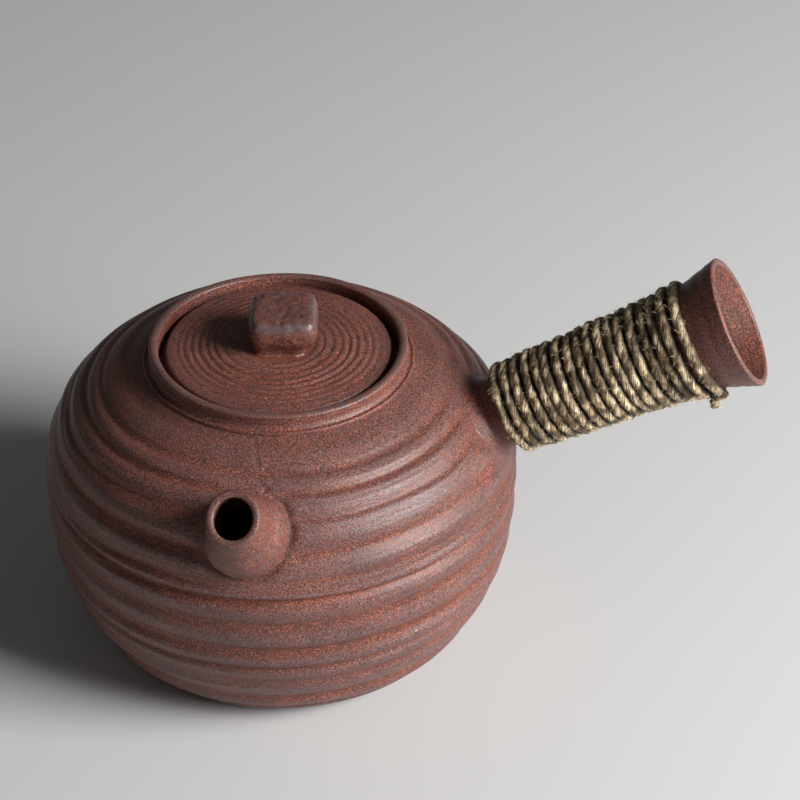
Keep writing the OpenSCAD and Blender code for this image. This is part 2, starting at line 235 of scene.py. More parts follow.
class Value:
    """A node's output. Arithmetic on it adds Math nodes, or Vector Math nodes for a vector or a colour."""

    def __init__(self, socket):
        self.socket = socket
        self.tree = socket.id_data
        self.is_vector = socket.type in ("VECTOR", "RGBA")

    def __add__(self, other):
        return calc("ADD", self, other)

    def __sub__(self, other):
        return calc("SUBTRACT", self, other)

    def __rsub__(self, other):
        return calc("SUBTRACT", other, self)

    def __mul__(self, other):
        if self.is_vector:
            inputs = {"Vector": self, "Scale": other}
            return output(self.tree, "ShaderNodeVectorMath", inputs, operation="SCALE")
        return calc("MULTIPLY", self, other)

    def __truediv__(self, other):
        return calc("DIVIDE", self, other)


def feed(socket, value):
    """Links a value to an input, or sets the input's own value."""
    if isinstance(value, Value):
        value.tree.links.new(value.socket, socket)
    else:
        socket.default_value = value


def add_node(tree, kind, inputs=None, **options):
    """Adds a node, sets its options and feeds its inputs."""
    made = tree.nodes.new(kind)
    for name, option in options.items():
        setattr(made, name, option)
    for name, value in (inputs or {}).items():
        feed(made.inputs[name], value)
    return made


def output(tree, kind, inputs=None, socket=0, **options):
    """Adds a node and gives its first output, or the one that socket names."""
    return Value(add_node(tree, kind, inputs, **options).outputs[socket])


def calc(operation, *values, socket=0):
    """A Math node over values and numbers, or a Vector Math node for vectors and colours."""
    first = next(value for value in values if isinstance(value, Value))
    kind = "ShaderNodeVectorMath" if first.is_vector else "ShaderNodeMath"
    return output(first.tree, kind, dict(enumerate(values)), socket, operation=operation)


def clamped(value):
    """A value kept between 0 and 1."""
    return calc("MINIMUM", calc("MAXIMUM", value, 0), 1)


def vector_of(tree, *values):
    """A vector from three values or numbers."""
    return output(tree, "ShaderNodeCombineXYZ", dict(enumerate(values)))


def noise_of(place, scale, detail=2, roughness=0.55):
    """Noise over a place, around 0.5."""
    inputs = {"Vector": place, "Scale": scale, "Detail": detail, "Roughness": roughness}
    return output(place.tree, "ShaderNodeTexNoise", inputs, "Fac")


def line_noise(place, detail=2):
    """Noise along one number, around 0.5."""
    inputs = {"W": place, "Scale": 1, "Detail": detail}
    return output(place.tree, "ShaderNodeTexNoise", inputs, "Fac", noise_dimensions="1D")


def step_up(value, low, high):
    """Rises smoothly from 0 at low to 1 at high."""
    inputs = {"Value": value, "From Min": low, "From Max": high}
    return output(value.tree, "ShaderNodeMapRange", inputs, interpolation_type="SMOOTHSTEP")


def mix_colour(factor, first, second):
    """Mixes two colours."""
    factor_input, first_input, second_input, colour_output = 0, 6, 7, 2
    inputs = {factor_input: factor, first_input: first, second_input: second}
    return output(factor.tree, "ShaderNodeMix", inputs, colour_output, data_type="RGBA")


def mark_of(tree, name, socket="Fac"):
    """A named value that is stored on the mesh, in a material."""
    return output(tree, "ShaderNodeAttribute", socket=socket, attribute_name=name)


def new_group(name, kind, inputs, outputs):
    """A node group with named sockets. inputs and outputs give the type of each."""
    group = bpy.data.node_groups.new(name, kind)
    for direction, sockets in (("INPUT", inputs), ("OUTPUT", outputs)):
        for label, socket_type in sockets.items():
            group.interface.new_socket(label, in_out=direction, socket_type="NodeSocket" + socket_type)
    entry = group.nodes.new("NodeGroupInput")
    leave = group.nodes.new("NodeGroupOutput")
    return group, {socket.name: Value(socket) for socket in entry.outputs if socket.name}, leave.inputs


def shared(collection, name, make, *values, **named):
    """A group or material that is made at its first use and found by its name after that."""
    return collection.get(name) or make(name, *values, **named)


# Finishes


def clay_grain_group(name):
    """Coarse fired clay: ember flecks and grey bloom over a dark body, with its roughness and height. Crest
    greys the crests, partly as bloom and partly as painted sheen, and moves ember into the grooves.
    """
    group, given, gives = new_group(name, "ShaderNodeTree", {
        "Place": "Vector", "Body": "Color", "Ember": "Color", "Ash": "Color",
        "Ember share": "Float", "Ash share": "Float", "Crest": "Float",
    }, {"Colour": "Color", "Roughness": "Float", "Height": "Float"})
    place = given["Place"]
    crest = given["Crest"]
    grain = noise_of(place, scale=2700, roughness=0.6)
    haze = noise_of(place + (3.1, 1.7, 0.4), scale=1900, detail=3, roughness=0.65)
    pores = step_up(noise_of(place, scale=3000, detail=1), 0.42, 0.3)
    blotch = step_up(noise_of(place, scale=75, detail=3), 0.3, 0.7)
    drift = noise_of(place, scale=26)
    cells = add_node(group, "ShaderNodeTexVoronoi", {"Vector": place, "Scale": 420})
    cell_tone = output(group, "ShaderNodeSeparateColor", {"Color": Value(cells.outputs["Color"])})
    grit = step_up(Value(cells.outputs["Distance"]), 0.16, 0.08) * step_up(cell_tone, 0.95, 0.97)
    # Crest moves ember into the grooves and greys the crests, partly as bloom and partly as painted sheen.
    ember_cover = crest * -0.3 + given["Ember share"] * (blotch * 0.7 + 0.55)
    ember = clamped(step_up(grain, 0.49, 0.61) * ember_cover)
    bloom_and_sheen_cover = crest * 0.33 + given["Ash share"] * (drift * 1.2 + 0.4)
    ash = clamped(step_up(haze, 0.42, 0.63) * bloom_and_sheen_cover)
    dust_and_sheen = mix_colour(ash, mix_colour(ember, given["Body"], given["Ember"]), given["Ash"])
    # Pores are darkened where they sink in, as painted shade; drift varies the tone at random.
    shaded = dust_and_sheen * ((drift * 0.5 + 0.75) * (pores * -0.5 + 1))
    feed(gives["Colour"], mix_colour(grit * 0.7, shaded, given["Ash"] * 1.7))
    feed(gives["Roughness"], ash * -0.08 + (ember * 0.16 + 0.41))
    feed(gives["Height"], pores * -0.25 + (haze * 0.7 + grain * 0.6))
    return group


def rubbed_edge_group(name):
    """Rubbed edges: a mask that follows the stored wear, broken up by the grain of the surface."""
    inputs = {"Place": "Vector", "Wear": "Float"}
    group, given, gives = new_group(name, "ShaderNodeTree", inputs, {"Mask": "Float"})
    patches = noise_of(given["Place"], scale=420, detail=3)
    feed(gives["Mask"], step_up(given["Wear"] * 0.8 + (patches - 0.62), 0.05, 0.5))
    return group


def new_material(name):
    """A material, its nodes and its shader."""
    material = bpy.data.materials.new(name)
    material.use_nodes = True
    return material, material.node_tree, material.node_tree.nodes["Principled BSDF"]


def roughen(shader, height, strength, distance):
    """Gives a shader the fine relief of a height."""
    inputs = {"Height": height, "Strength": strength, "Distance": distance}
    feed(shader.inputs["Normal"], output(height.tree, "ShaderNodeBump", inputs))


def clay_material(name, finishes, ember_share, ash_share, wear_share, polish):
    """Unglazed coarse clay with rubbed edges."""
    material, tree, shader = new_material(name)
    place = output(tree, "ShaderNodeTexCoord", socket="Object")
    clay_grain = shared(bpy.data.node_groups, "Clay grain", clay_grain_group)
    grain = add_node(tree, "ShaderNodeGroup", {
        "Place": place, "Body": finishes.body, "Ember": finishes.ember, "Ash": finishes.ash,
        "Ember share": ember_share, "Ash share": ash_share, "Crest": mark_of(tree, "crest"),
    }, node_tree=clay_grain)
    rubbed_edge = shared(bpy.data.node_groups, "Rubbed edge", rubbed_edge_group)
    wear = {"Place": place, "Wear": mark_of(tree, "wear")}
    mask = output(tree, "ShaderNodeGroup", wear, node_tree=rubbed_edge) * wear_share
    grain_colour = Value(grain.outputs["Colour"])
    feed(shader.inputs["Base Color"], mix_colour(mask, grain_colour, finishes.rubbed))
    feed(shader.inputs["Roughness"], mask * -0.17 + (Value(grain.outputs["Roughness"]) - polish))
    feed(shader.inputs["Specular IOR Level"], 0.5)
    roughen(shader, Value(grain.outputs["Height"]), strength=0.6, distance=0.18 * MM)
    return material


def thrown_clay(finishes):
    """The clay of the pot, collar, spout, handle and lid."""
    return shared(bpy.data.materials, "Thrown red clay", clay_material, finishes,
                  ember_share=0.85, ash_share=0.35, wear_share=0.7, polish=0.0)


def knob_clay(finishes):
    """The knob's clay, rubbed grey by fingers."""
    return shared(bpy.data.materials, "Rubbed knob clay", clay_material, finishes,
                  ember_share=0.75, ash_share=0.3, wear_share=0.8, polish=0.06)


def jute_material(name, finishes):
    """Laid jute: streaks that wind along each yarn, with a painted highlight on the outward ridge of each
    strand, and painted shade in the crevices between yarns and on the sides that face the next turns.
    """
    material, tree, shader = new_material(name)
    along = mark_of(tree, "along")
    yarn = mark_of(tree, "yarn")
    outer = mark_of(tree, "outer")
    facing = mark_of(tree, "facing")
    twist = {"Vector": mark_of(tree, "side", "Vector"), "Angle": along * -430}
    wound = output(tree, "ShaderNodeVectorRotate", twist, rotation_type="Z_AXIS")
    run = vector_of(tree, 0, 0, along * 330 + yarn * 31)
    fibres = noise_of(wound * 3.4 + run, scale=1, detail=4, roughness=0.75)
    patches = line_noise(along * 150 + yarn * 57)
    spots = noise_of(output(tree, "ShaderNodeTexCoord", socket="Object"), scale=260)
    weather = step_up(patches * 0.5 + spots, 0.58, 0.92)
    middle = mix_colour(step_up(fibres, 0.36, 0.54), finishes.jute_dark_and_shade, finishes.jute)
    pale = step_up(fibres, 0.41, 0.6) * weather
    # Painted highlight: the outward ridge of each strand is lit in the colour, over the real bleached
    # patches.
    painted_ridge_highlight = step_up(facing, 0.3, 1) * 0.36 + 0.62
    bleached_and_lit = mix_colour(pale, middle, finishes.jute_pale) * ((weather * 0.7 + 0.45) * painted_ridge_highlight)
    # Painted shade: the crevices between yarns and the sides that face the next turns take the dark jute.
    clear_of_painted_shade = step_up(facing, 0, 0.75) * step_up(outer, 0.6, 0.92)
    shown = mix_colour(clear_of_painted_shade, finishes.jute_dark_and_shade, bleached_and_lit)
    loose = mix_colour(mark_of(tree, "tone"), finishes.jute, finishes.jute_pale)
    feed(shader.inputs["Base Color"], mix_colour(step_up(outer, 1.5, 1.8), shown, loose))
    feed(shader.inputs["Roughness"], fibres * -0.35 + 0.82)
    feed(shader.inputs["Sheen Weight"], 0.1)
    roughen(shader, fibres, strength=1, distance=0.3 * MM)
    return material


# Mesh helpers


def run_of(points):
    """Distance run along a line of points, at each point."""
    return np.concatenate([[0.0], np.cumsum(np.linalg.norm(np.diff(points, axis=0), axis=1))])


def curve_through(points, count):
    """Even samples of a smooth curve through given points, as (count, 2)."""
    knots = np.array([points[0], *points, points[-1]], float)
    samples = []
    for place in np.linspace(0, len(points) - 1 - 1e-9, 12 * len(points)):
        first = int(place)
        part = place - first
        a, b, c, d = knots[first:first + 4]
        samples.append(0.5 * (2 * b + (c - a) * part + (2 * a - 5 * b + 4 * c - d) * part ** 2
                              + (3 * b - a - 3 * c + d) * part ** 3))
    samples = np.array(samples)
    far = run_of(samples)
    place = np.linspace(0, far[-1], count)
    return np.stack([np.interp(place, far, samples[:, k]) for k in (0, 1)], axis=1)


def rounded(points, radius, steps=4):
    """An open outline whose corners are rounded by up to radius."""
    points = np.array(points, float)
    made = [points[0]]
    for before, corner, after in zip(points[:-2], points[1:-1], points[2:]):
        back = before - corner
        on = after - corner
        reach = min(radius, 0.45 * np.linalg.norm(back), 0.45 * np.linalg.norm(on))
        start = corner + back / np.linalg.norm(back) * reach
        end = corner + on / np.linalg.norm(on) * reach
        for part in np.linspace(0, 1, steps):
            made.append((1 - part) ** 2 * start + 2 * part * (1 - part) * corner + part ** 2 * end)
    made.append(points[-1])
    return np.array(made)


def filled_in(points, step):
    """The same outline with extra points wherever two lie further apart than step."""
    made = [points[0]]
    for start, end in zip(points[:-1], points[1:]):
        pieces = max(1, int(math.ceil(np.linalg.norm(end - start) / step)))
        for part in range(1, pieces + 1):
            made.append(start + (end - start) * part / pieces)
    return np.array(made)


def ramp(value, low, high):
    """Rises smoothly from 0 at low to 1 at high."""
    part = np.clip((np.asarray(value, float) - low) / (high - low), 0, 1)
    return part * part * (3 - 2 * part)


def bell(value, middle, width):
    """A smooth bump of height 1."""
    return np.exp(-((np.asarray(value, float) - middle) / width) ** 2)


def even_angles(count):
    """Angles that share out a whole turn."""
    return np.linspace(0, TURN, count, endpoint=False)


def round_and_round(outline, angles):
    """Turns an outline of (radius, height) about +Z into a grid of points."""
    radius = outline[:, 0][:, None]
    height = np.broadcast_to(outline[:, 1][:, None], (len(outline), len(angles)))
    return np.stack([radius * np.cos(angles), radius * np.sin(angles), height], axis=2)


def add_object(name, data):
    """Puts a mesh, a camera or a lamp in the scene."""
    made = bpy.data.objects.new(name, data)
    bpy.context.scene.collection.objects.link(made)
    return made


def grid_mesh(name, grid, marks, poles):
    """A closed mesh over a grid of points, with marks by row or point. The end rows are poles or meet."""
    rows, count = grid.shape[:2]
    index = np.arange(rows * count).reshape(rows, count)
    if poles:
        index[0, :] = index[0, 0]
        index[-1, :] = index[-1, 0]
    faces = []
    for row in range(rows - 1 if poles else rows):
        low = index[row]
        high = index[(row + 1) % rows]
        for k in range(count):
            after = (k + 1) % count
            corners = dict.fromkeys((low[k], low[after], high[after], high[k]))
            faces.append([int(corner) for corner in corners])
    mesh = bpy.data.meshes.new(name)
    mesh.from_pydata(grid.reshape(-1, 3).tolist(), [], faces)
    for label, values in marks.items():
        by_point = values[:, None] if values.ndim == 1 else values
        stored = mesh.attributes.new(label, "FLOAT", "POINT")
        stored.data.foreach_set("value", np.broadcast_to(by_point, (rows, count)).astype(np.float32).ravel())
    tidy_mesh(mesh)
    return add_object(name, mesh)


def tidy_mesh(mesh):
    """Drops loose points, turns all faces outwards and shades them smooth."""
    work = bmesh.new()
    work.from_mesh(mesh)
    loose = [point for point in work.verts if not point.link_faces]
    bmesh.ops.delete(work, geom=loose, context="VERTS")
    bmesh.ops.recalc_face_normals(work, faces=work.faces)
    if work.calc_volume(signed=True) < 0:
        bmesh.ops.reverse_faces(work, faces=work.faces)
    work.to_mesh(mesh)
    work.free()
    mesh.polygons.foreach_set("use_smooth", [True] * len(mesh.polygons))
    mesh.update()


def bake(piece):
    """Turns a piece with modifiers into a plain mesh."""
    graph = bpy.context.evaluated_depsgraph_get()
    mesh = bpy.data.meshes.new_from_object(piece.evaluated_get(graph), preserve_all_data_layers=True,
                                           depsgraph=graph)
    old = piece.data
    piece.modifiers.clear()
    piece.data = mesh
    mesh.name = piece.name
    bpy.data.meshes.remove(old)


def shape_with(piece, tree, **values):
    """Runs a Geometry Nodes tree over a piece and keeps the result. The values are named for its inputs."""
    modifier = piece.modifiers.new(tree.name, "NODES")
    modifier.node_group = tree
    for item in tree.interface.items_tree:
        label = item.name.lower().replace(" ", "_")
        if item.item_type == "SOCKET" and item.in_out == "INPUT" and label in values:
            modifier[item.identifier] = values[label]
    bake(piece)


def points_of(piece):
    """The piece's points and point normals, each as (count, 3)."""
    flat = np.empty(len(piece.data.vertices) * 3, np.float32)
    piece.data.vertices.foreach_get("co", flat)
    points = flat.reshape(-1, 3).astype(float)
    piece.data.vertex_normals.foreach_get("vector", flat)
    return points, flat.reshape(-1, 3).astype(float)


def raise_points(piece, rise):
    """Moves the piece's points along their normals."""
    points, normals = points_of(piece)
    moved = points + normals * rise[:, None]
    piece.data.vertices.foreach_set("co", moved.astype(np.float32).ravel())
    piece.data.update()


def press(piece, marks):
    """Presses marks into a piece, each a (centre, radius, depth). A negative depth raises a lump."""
    points = points_of(piece)[0]
    rise = np.zeros(len(points))
    for centre, radius, depth in marks:
        far = np.linalg.norm(points - np.array(centre), axis=1) / radius
        rise -= depth * np.exp(-2 * far ** 2)
    raise_points(piece, rise)


def seat(piece, body, node):
    """Says which body the piece rides on, and hides the node that it stands for."""
    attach(piece, body)
    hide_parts(node)


# Geometry Nodes trees


def stored_mark(tree, name, kind="FLOAT"):
    """A named value that is stored on the mesh, in a Geometry Nodes tree."""
    return output(tree, "GeometryNodeInputNamedAttribute", {"Name": name}, data_type=kind)


def store_mark(geometry, name, value, kind="FLOAT"):
    """Stores a named value on the points of a geometry."""
    inputs = {"Geometry": geometry, "Name": name, "Value": value}
    return output(geometry.tree, "GeometryNodeStoreNamedAttribute", inputs, data_type=kind, domain="POINT")


def moved_by(geometry, offset):
    """A geometry with its points moved."""
    return output(geometry.tree, "GeometryNodeSetPosition", {"Geometry": geometry, "Offset": offset})


def finish_tree(geometry, material, leave):
    """Ends a tree: real and smooth geometry with its material."""
    real = output(geometry.tree, "GeometryNodeRealizeInstances", {"Geometry": geometry})
    smooth = output(geometry.tree, "GeometryNodeSetShadeSmooth", {"Geometry": real})
    feed(leave, output(geometry.tree, "GeometryNodeSetMaterial", {"Geometry": smooth, "Material": material}))


def throwing_rings_tree(name):
    """Grooves and fine lines that fingers and tools leave on a turning piece, along its stored turn count."""
    tree, given, gives = new_group(name, "GeometryNodeTree", {
        "Geometry": "Geometry", "Ring depth": "Float", "Sharpness": "Float", "Wander": "Float",
        "Wander scale": "Float", "Fine depth": "Float", "Fine lines": "Float", "Wobble": "Float",
        "Bloom": "Float", "Seed": "Float", "Material": "Material",
    }, {"Geometry": "Geometry"})
    seed = given["Seed"]
    fade = stored_mark(tree, "fade")
    place = output(tree, "GeometryNodeInputPosition") + vector_of(tree, seed, seed, 0)
    drift = noise_of(place, given["Wander scale"], detail=1) - 0.5
    phase = drift * (given["Wander"] * 2) + stored_mark(tree, "turn")
    wave = calc("COSINE", phase * TURN)
    groove = calc("POWER", wave * 0.5 + 0.5, given["Sharpness"])
    which = calc("ROUND", phase) * 7.31 + seed
    patch = noise_of(place, scale=30, detail=1)
    strength = line_noise(which, detail=0) * 1.2 + patch * 0.8
    deep = groove * calc("MAXIMUM", strength, 0.15)
    ring = (0.5 - deep) * given["Ring depth"]
    line = line_noise(phase * given["Fine lines"] + patch * 1.5, detail=3) - 0.5
    swell = noise_of(place, scale=22, detail=1) - 0.5
    rise = line * (given["Fine depth"] * 2) + ring + swell * (given["Wobble"] * 2)
    # The crest mark is high on the crests and low in the grooves, shifted by Bloom; the clay greys the crests
    # with it, partly as bloom and partly as painted sheen.
    level = line * 2.6 + (deep * -1.9 + 0.65)
    marked = store_mark(given["Geometry"], "crest", level * fade + given["Bloom"])
    normal = output(tree, "GeometryNodeInputNormal", socket="Normal")
    finish_tree(moved_by(marked, normal * (rise * fade)), given["Material"], gives["Geometry"])
    return tree


def laid_twine_tree(name):
    """Lays yarns round a path, and sets loose fibres on them."""
    tree, given, gives = new_group(name, "GeometryNodeTree", {
        "Geometry": "Geometry", "Diameter": "Float", "Lay": "Float", "Yarns": "Int", "Step": "Float",
        "Sides": "Int", "Hairs per square metre": "Float", "Hair length": "Float", "Hair thickness": "Float",
        "Seed": "Int", "Material": "Material",
    }, {"Geometry": "Geometry"})
    radius = given["Diameter"] * 0.5
    place = output(tree, "GeometryNodeInputPosition")
    normal = output(tree, "GeometryNodeInputNormal", socket="Normal")
    tangent = output(tree, "GeometryNodeInputTangent")
    far = output(tree, "GeometryNodeSplineParameter", socket="Length")
    path = output(tree, "GeometryNodeMeshToCurve", {"Mesh": given["Geometry"]})
    even = output(tree, "GeometryNodeResampleCurve", {"Curve": path, "Length": given["Step"]}, mode="LENGTH")
    copies = add_node(tree, "GeometryNodeDuplicateElements", {"Geometry": even, "Amount": given["Yarns"]},
                      domain="SPLINE")
    stored = store_mark(Value(copies.outputs["Geometry"]), "along", far)
    stored = store_mark(stored, "yarn", Value(copies.outputs["Duplicate Index"]))
    stored = store_mark(stored, "core", place, "FLOAT_VECTOR")
    yarn = stored_mark(tree, "yarn")
    part = far / given["Lay"] + yarn / given["Yarns"]
    spin = (line_noise(far * 90, detail=1) * 0.5 + part) * TURN
    aside = calc("CROSS_PRODUCT", tangent, normal)
    out = normal * calc("COSINE", spin) + aside * calc("SINE", spin)
    slack = line_noise(far * 260 + yarn * 19, detail=1)
    full = radius * (line_noise(far * 130, detail=1) * 0.5 + 0.75)
    laid = moved_by(stored, out * (full * (slack * 0.25 + 0.11)))
    thick = full * (slack * -0.25 + 0.9)
    sized = output(tree, "GeometryNodeSetCurveRadius", {"Curve": laid, "Radius": thick})
    ring = output(tree, "GeometryNodeCurvePrimitiveCircle", {"Resolution": given["Sides"], "Radius": 1})
    yarn_mesh = output(tree, "GeometryNodeCurveToMesh", {
        "Curve": sized, "Profile Curve": store_mark(ring, "side", place, "FLOAT_VECTOR"),
        "Scale": output(tree, "GeometryNodeInputRadius"), "Fill Caps": True})
    # How far each point faces out from the handle and lies out from the core: the jute paints its highlight
    # and shade from these.
    from_core = place - stored_mark(tree, "core", "FLOAT_VECTOR")
    faces = calc("DOT_PRODUCT", from_core, stored_mark(tree, "out", "FLOAT_VECTOR"), socket="Value")
    marked = store_mark(yarn_mesh, "facing", faces / radius)
    marked = store_mark(marked, "outer", calc("LENGTH", from_core, socket="Value") / radius)
    nub = (noise_of(place, scale=800) - 0.5) * (0.7 * MM)
    yarns = moved_by(marked, normal * nub)
    hairs = loose_fibres(tree, yarns, given)
    joined = tree.nodes.new("GeometryNodeJoinGeometry")
    for geometry in (hairs, yarns):
        feed(joined.inputs[0], geometry)
    finish_tree(Value(joined.outputs[0]), given["Material"], gives["Geometry"])
    return tree


def random_number(tree, least, most, seed):
    """A random number for each point."""
    low_input, high_input, number_output = 2, 3, 1
    inputs = {low_input: least, high_input: most, "Seed": seed}
    return output(tree, "FunctionNodeRandomValue", inputs, number_output, data_type="FLOAT")


def loose_fibres(tree, yarns, given):
    """Short bowed fibres that stand off the outside of the yarns."""
    seed = given["Seed"]
    outside = output(tree, "FunctionNodeCompare", {"A": stored_mark(tree, "outer"), "B": 0.8},
                     operation="GREATER_THAN", data_type="FLOAT")
    spots = add_node(tree, "GeometryNodeDistributePointsOnFaces", {
        "Mesh": yarns, "Selection": outside, "Density": given["Hairs per square metre"], "Seed": seed})
    bow = output(tree, "GeometryNodeCurveQuadraticBezier", {
        "Resolution": 1, "Start": (0, 0, -0.05), "Middle": (0.05, 0, 0.55), "End": (0.3, 0, 1)})
    ring = output(tree, "GeometryNodeCurvePrimitiveCircle", {
        "Resolution": 3, "Radius": given["Hair thickness"] / given["Hair length"]})
    hair = output(tree, "GeometryNodeCurveToMesh", {"Curve": bow, "Profile Curve": ring, "Fill Caps": True})
    most_lean = (1.35, 1.35, math.pi)
    lean = output(tree, "FunctionNodeRandomValue", {
        0: [-most for most in most_lean], 1: most_lean, "Seed": seed}, data_type="FLOAT_VECTOR")
    turned = output(tree, "FunctionNodeRotateRotation", {
        "Rotation": Value(spots.outputs["Rotation"]),
        "Rotate By": output(tree, "FunctionNodeEulerToRotation", {0: lean})}, rotation_space="LOCAL")
    size = random_number(tree, 0.3, 1, seed)
    tone = random_number(tree, 0, 1, seed)
    return output(tree, "GeometryNodeInstanceOnPoints", {
        "Points": store_mark(Value(spots.outputs["Points"]), "tone", tone),
        "Instance": store_mark(hair, "outer", 2), "Rotation": turned, "Scale": size * given["Hair length"]})


def throw(piece, scene, sharpness=1.5, wander=0.2, fine_lines=3.0, bloom=0.0, **values):
    """Rings a turned piece and gives it its clay. The values are named for the inputs of the ring tree."""
    rings = shared(bpy.data.node_groups, "Throwing rings", throwing_rings_tree)
    clay = thrown_clay(scene.teapot_finish)
    shape_with(piece, rings, sharpness=sharpness, wander=wander, fine_lines=fine_lines, bloom=bloom,
               material=clay, **values)


# Shapes


class PotShape:
    """The pot's smooth side curve, and how full a place is: 1 on the wall, less inside."""

    def __init__(self, sizes):
        self.sizes = sizes
        self.belly_r = sizes.belly_d / 2
        self.collar_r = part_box("mouth_collar")[1].x
        self.seat_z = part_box("mouth_collar")[0].z
        power = 2 / sizes.fullness
        seat_angle = math.acos((self.collar_r / self.belly_r) ** (1 / power))
        foot_angle = math.acos((sizes.foot_d / 2 / self.belly_r) ** (1 / power))
        self.lower_fall = sizes.belly_z / math.sin(foot_angle) ** power
        up = np.linspace(seat_angle, 0, 300)
        down = np.linspace(0, foot_angle, 300)[1:]
        shoulder = np.stack([self.belly_r * np.cos(up) ** power,
                             sizes.belly_z + sizes.shoulder_rise * np.sin(up) ** power], axis=1)
        under = np.stack([self.belly_r * np.cos(down) ** power,
                          sizes.belly_z - self.lower_fall * np.sin(down) ** power], axis=1)
        self.side = np.concatenate([shoulder, under])
        self.far = run_of(self.side)

    def outline(self, far):
        """(radius, height) at distances down the side from the collar."""
        return np.stack([np.interp(far, self.far, self.side[:, k]) for k in (0, 1)], axis=1)

    def outward(self, far):
        """Outward directions of the side, in its plane."""
        reach = 0.6 * MM
        along = self.outline(far + reach) - self.outline(far - reach)
        out = np.stack([-along[:, 1], along[:, 0]], axis=1)
        return out / np.linalg.norm(out, axis=1)[:, None]

    def place(self, heading_deg, far_mm):
        """A point on the wall, by its direction seen from above and its distance down from the collar."""
        radius, height = self.outline(np.array([far_mm * MM]))[0]
        turn = math.radians(heading_deg)
        return np.array([radius * math.cos(turn), radius * math.sin(turn), height])

    def turns(self, far):
        """Count of grooves down to a distance, whole at the bottom of each one."""
        turn = np.linspace(-6, 24, 3000)
        run = (self.sizes.ring_first + self.sizes.ring_pitch * turn
               - self.sizes.ring_wander * (1 - np.cos(np.radians(100) * turn)))
        return np.interp(far, run, turn)

    def fill(self, points):
        """How full a place is: below 1 inside the pot and above 1 outside."""
        radius = np.hypot(points[..., 0], points[..., 1])
        rise = points[..., 2] - self.sizes.belly_z
        half = np.where(rise > 0, self.sizes.shoulder_rise, self.lower_fall)
        return (radius / self.belly_r) ** self.sizes.fullness + (np.abs(rise) / half) ** self.sizes.fullness

    def wall_r(self, height):
        """Radius of the upper wall at a height."""
        part = (height - self.sizes.belly_z) / self.sizes.shoulder_rise
        return self.belly_r * (1 - part ** self.sizes.fullness) ** (1 / self.sizes.fullness)


class Axis:
    """A straight axis that leaves the pot's wall: its start, its direction and two directions across it."""

    def __init__(self, pot, sizes):
        level = np.array([math.cos(sizes.heading), math.sin(sizes.heading), 0.0])
        up = np.array([0.0, 0.0, 1.0])
        self.start = level * pot.wall_r(sizes.height) + up * sizes.height
        self.along = level * math.cos(sizes.tilt) + up * math.sin(sizes.tilt)
        self.upward = up * math.cos(sizes.tilt) - level * math.sin(sizes.tilt)
        self.aside = np.cross(self.along, self.upward)

    def across(self, angles):
        """Unit directions across the axis: 0 is the top."""
        angles = np.asarray(angles)[..., None]
        return self.upward * np.cos(angles) + self.aside * np.sin(angles)

    def points(self, at, radius, angles):
        """Points at distances along the axis and radii round it."""
        at = np.asarray(at)[..., None]
        return self.start + self.along * at + self.across(angles) * np.asarray(radius)[..., None]

    def from_axis(self, points):
        """How far points lie along the axis, and their offsets across it."""
        offset = points - self.start
        along = offset @ self.along
        return along, offset - along[..., None] * self.along

    def leaves(self, pot, radius, angles):
        """Distances along the axis at which a tube of this radius leaves the pot's wall, at each angle."""
        inner = np.full(len(angles), -20 * MM)
        outer = np.full(len(angles), 14 * MM)
        for _ in range(40):
            middle = (inner + outer) / 2
            inside = pot.fill(self.points(middle, np.full(len(angles), radius), angles)) < 1
            inner = np.where(inside, middle, inner)
            outer = np.where(inside, outer, middle)
        return (inner + outer) / 2


class Tube:
    """Rings of points round an axis, each with its ring count, ring strength and wear."""

    def __init__(self, axis, count=160):
        self.axis = axis
        self.angles = even_angles(count)
        self.rows = []
        self.marks = {"turn": [], "fade": [], "wear": []}

    def add(self, at, radius, turn=0.0, fade=0.0, wear=0.0):
        """Adds a ring. Its distance along the axis and its radius may change round it."""
        count = len(self.angles)
        at_each = np.broadcast_to(at, count)
        radius_each = np.broadcast_to(radius, count)
        self.rows.append(self.axis.points(at_each, radius_each, self.angles))
        for label, value in (("turn", turn), ("fade", fade), ("wear", wear)):
            self.marks[label].append(np.broadcast_to(value, count))

    def piece(self, name):
        """The closed mesh over the rings."""
        marks = {label: np.array(values) for label, values in self.marks.items()}
        return grid_mesh(name, np.array(self.rows), marks, poles=False)


def trimmed_share(cosine):
    """How far the spout's bell is trimmed, by the cosine of the angle from its trimmed side."""
    return ramp(cosine, -0.2, 0.7)


def clay_radius(sizes, at):
    """Radius of the handle's taper and flare."""
    flare_at = sizes.reach - sizes.flare_len
    taper = (sizes.neck_d + (sizes.grip_end_d - sizes.neck_d) * (at - sizes.neck_at)
             / (flare_at - sizes.neck_at))
    part = np.clip((at - flare_at) / (sizes.flare_len - sizes.rim_round), 0, 1)
    flare = sizes.grip_end_d + (sizes.flare_d - sizes.grip_end_d) * part ** sizes.flare_power
    return np.where(at < flare_at, taper, flare) / 2


# Operators


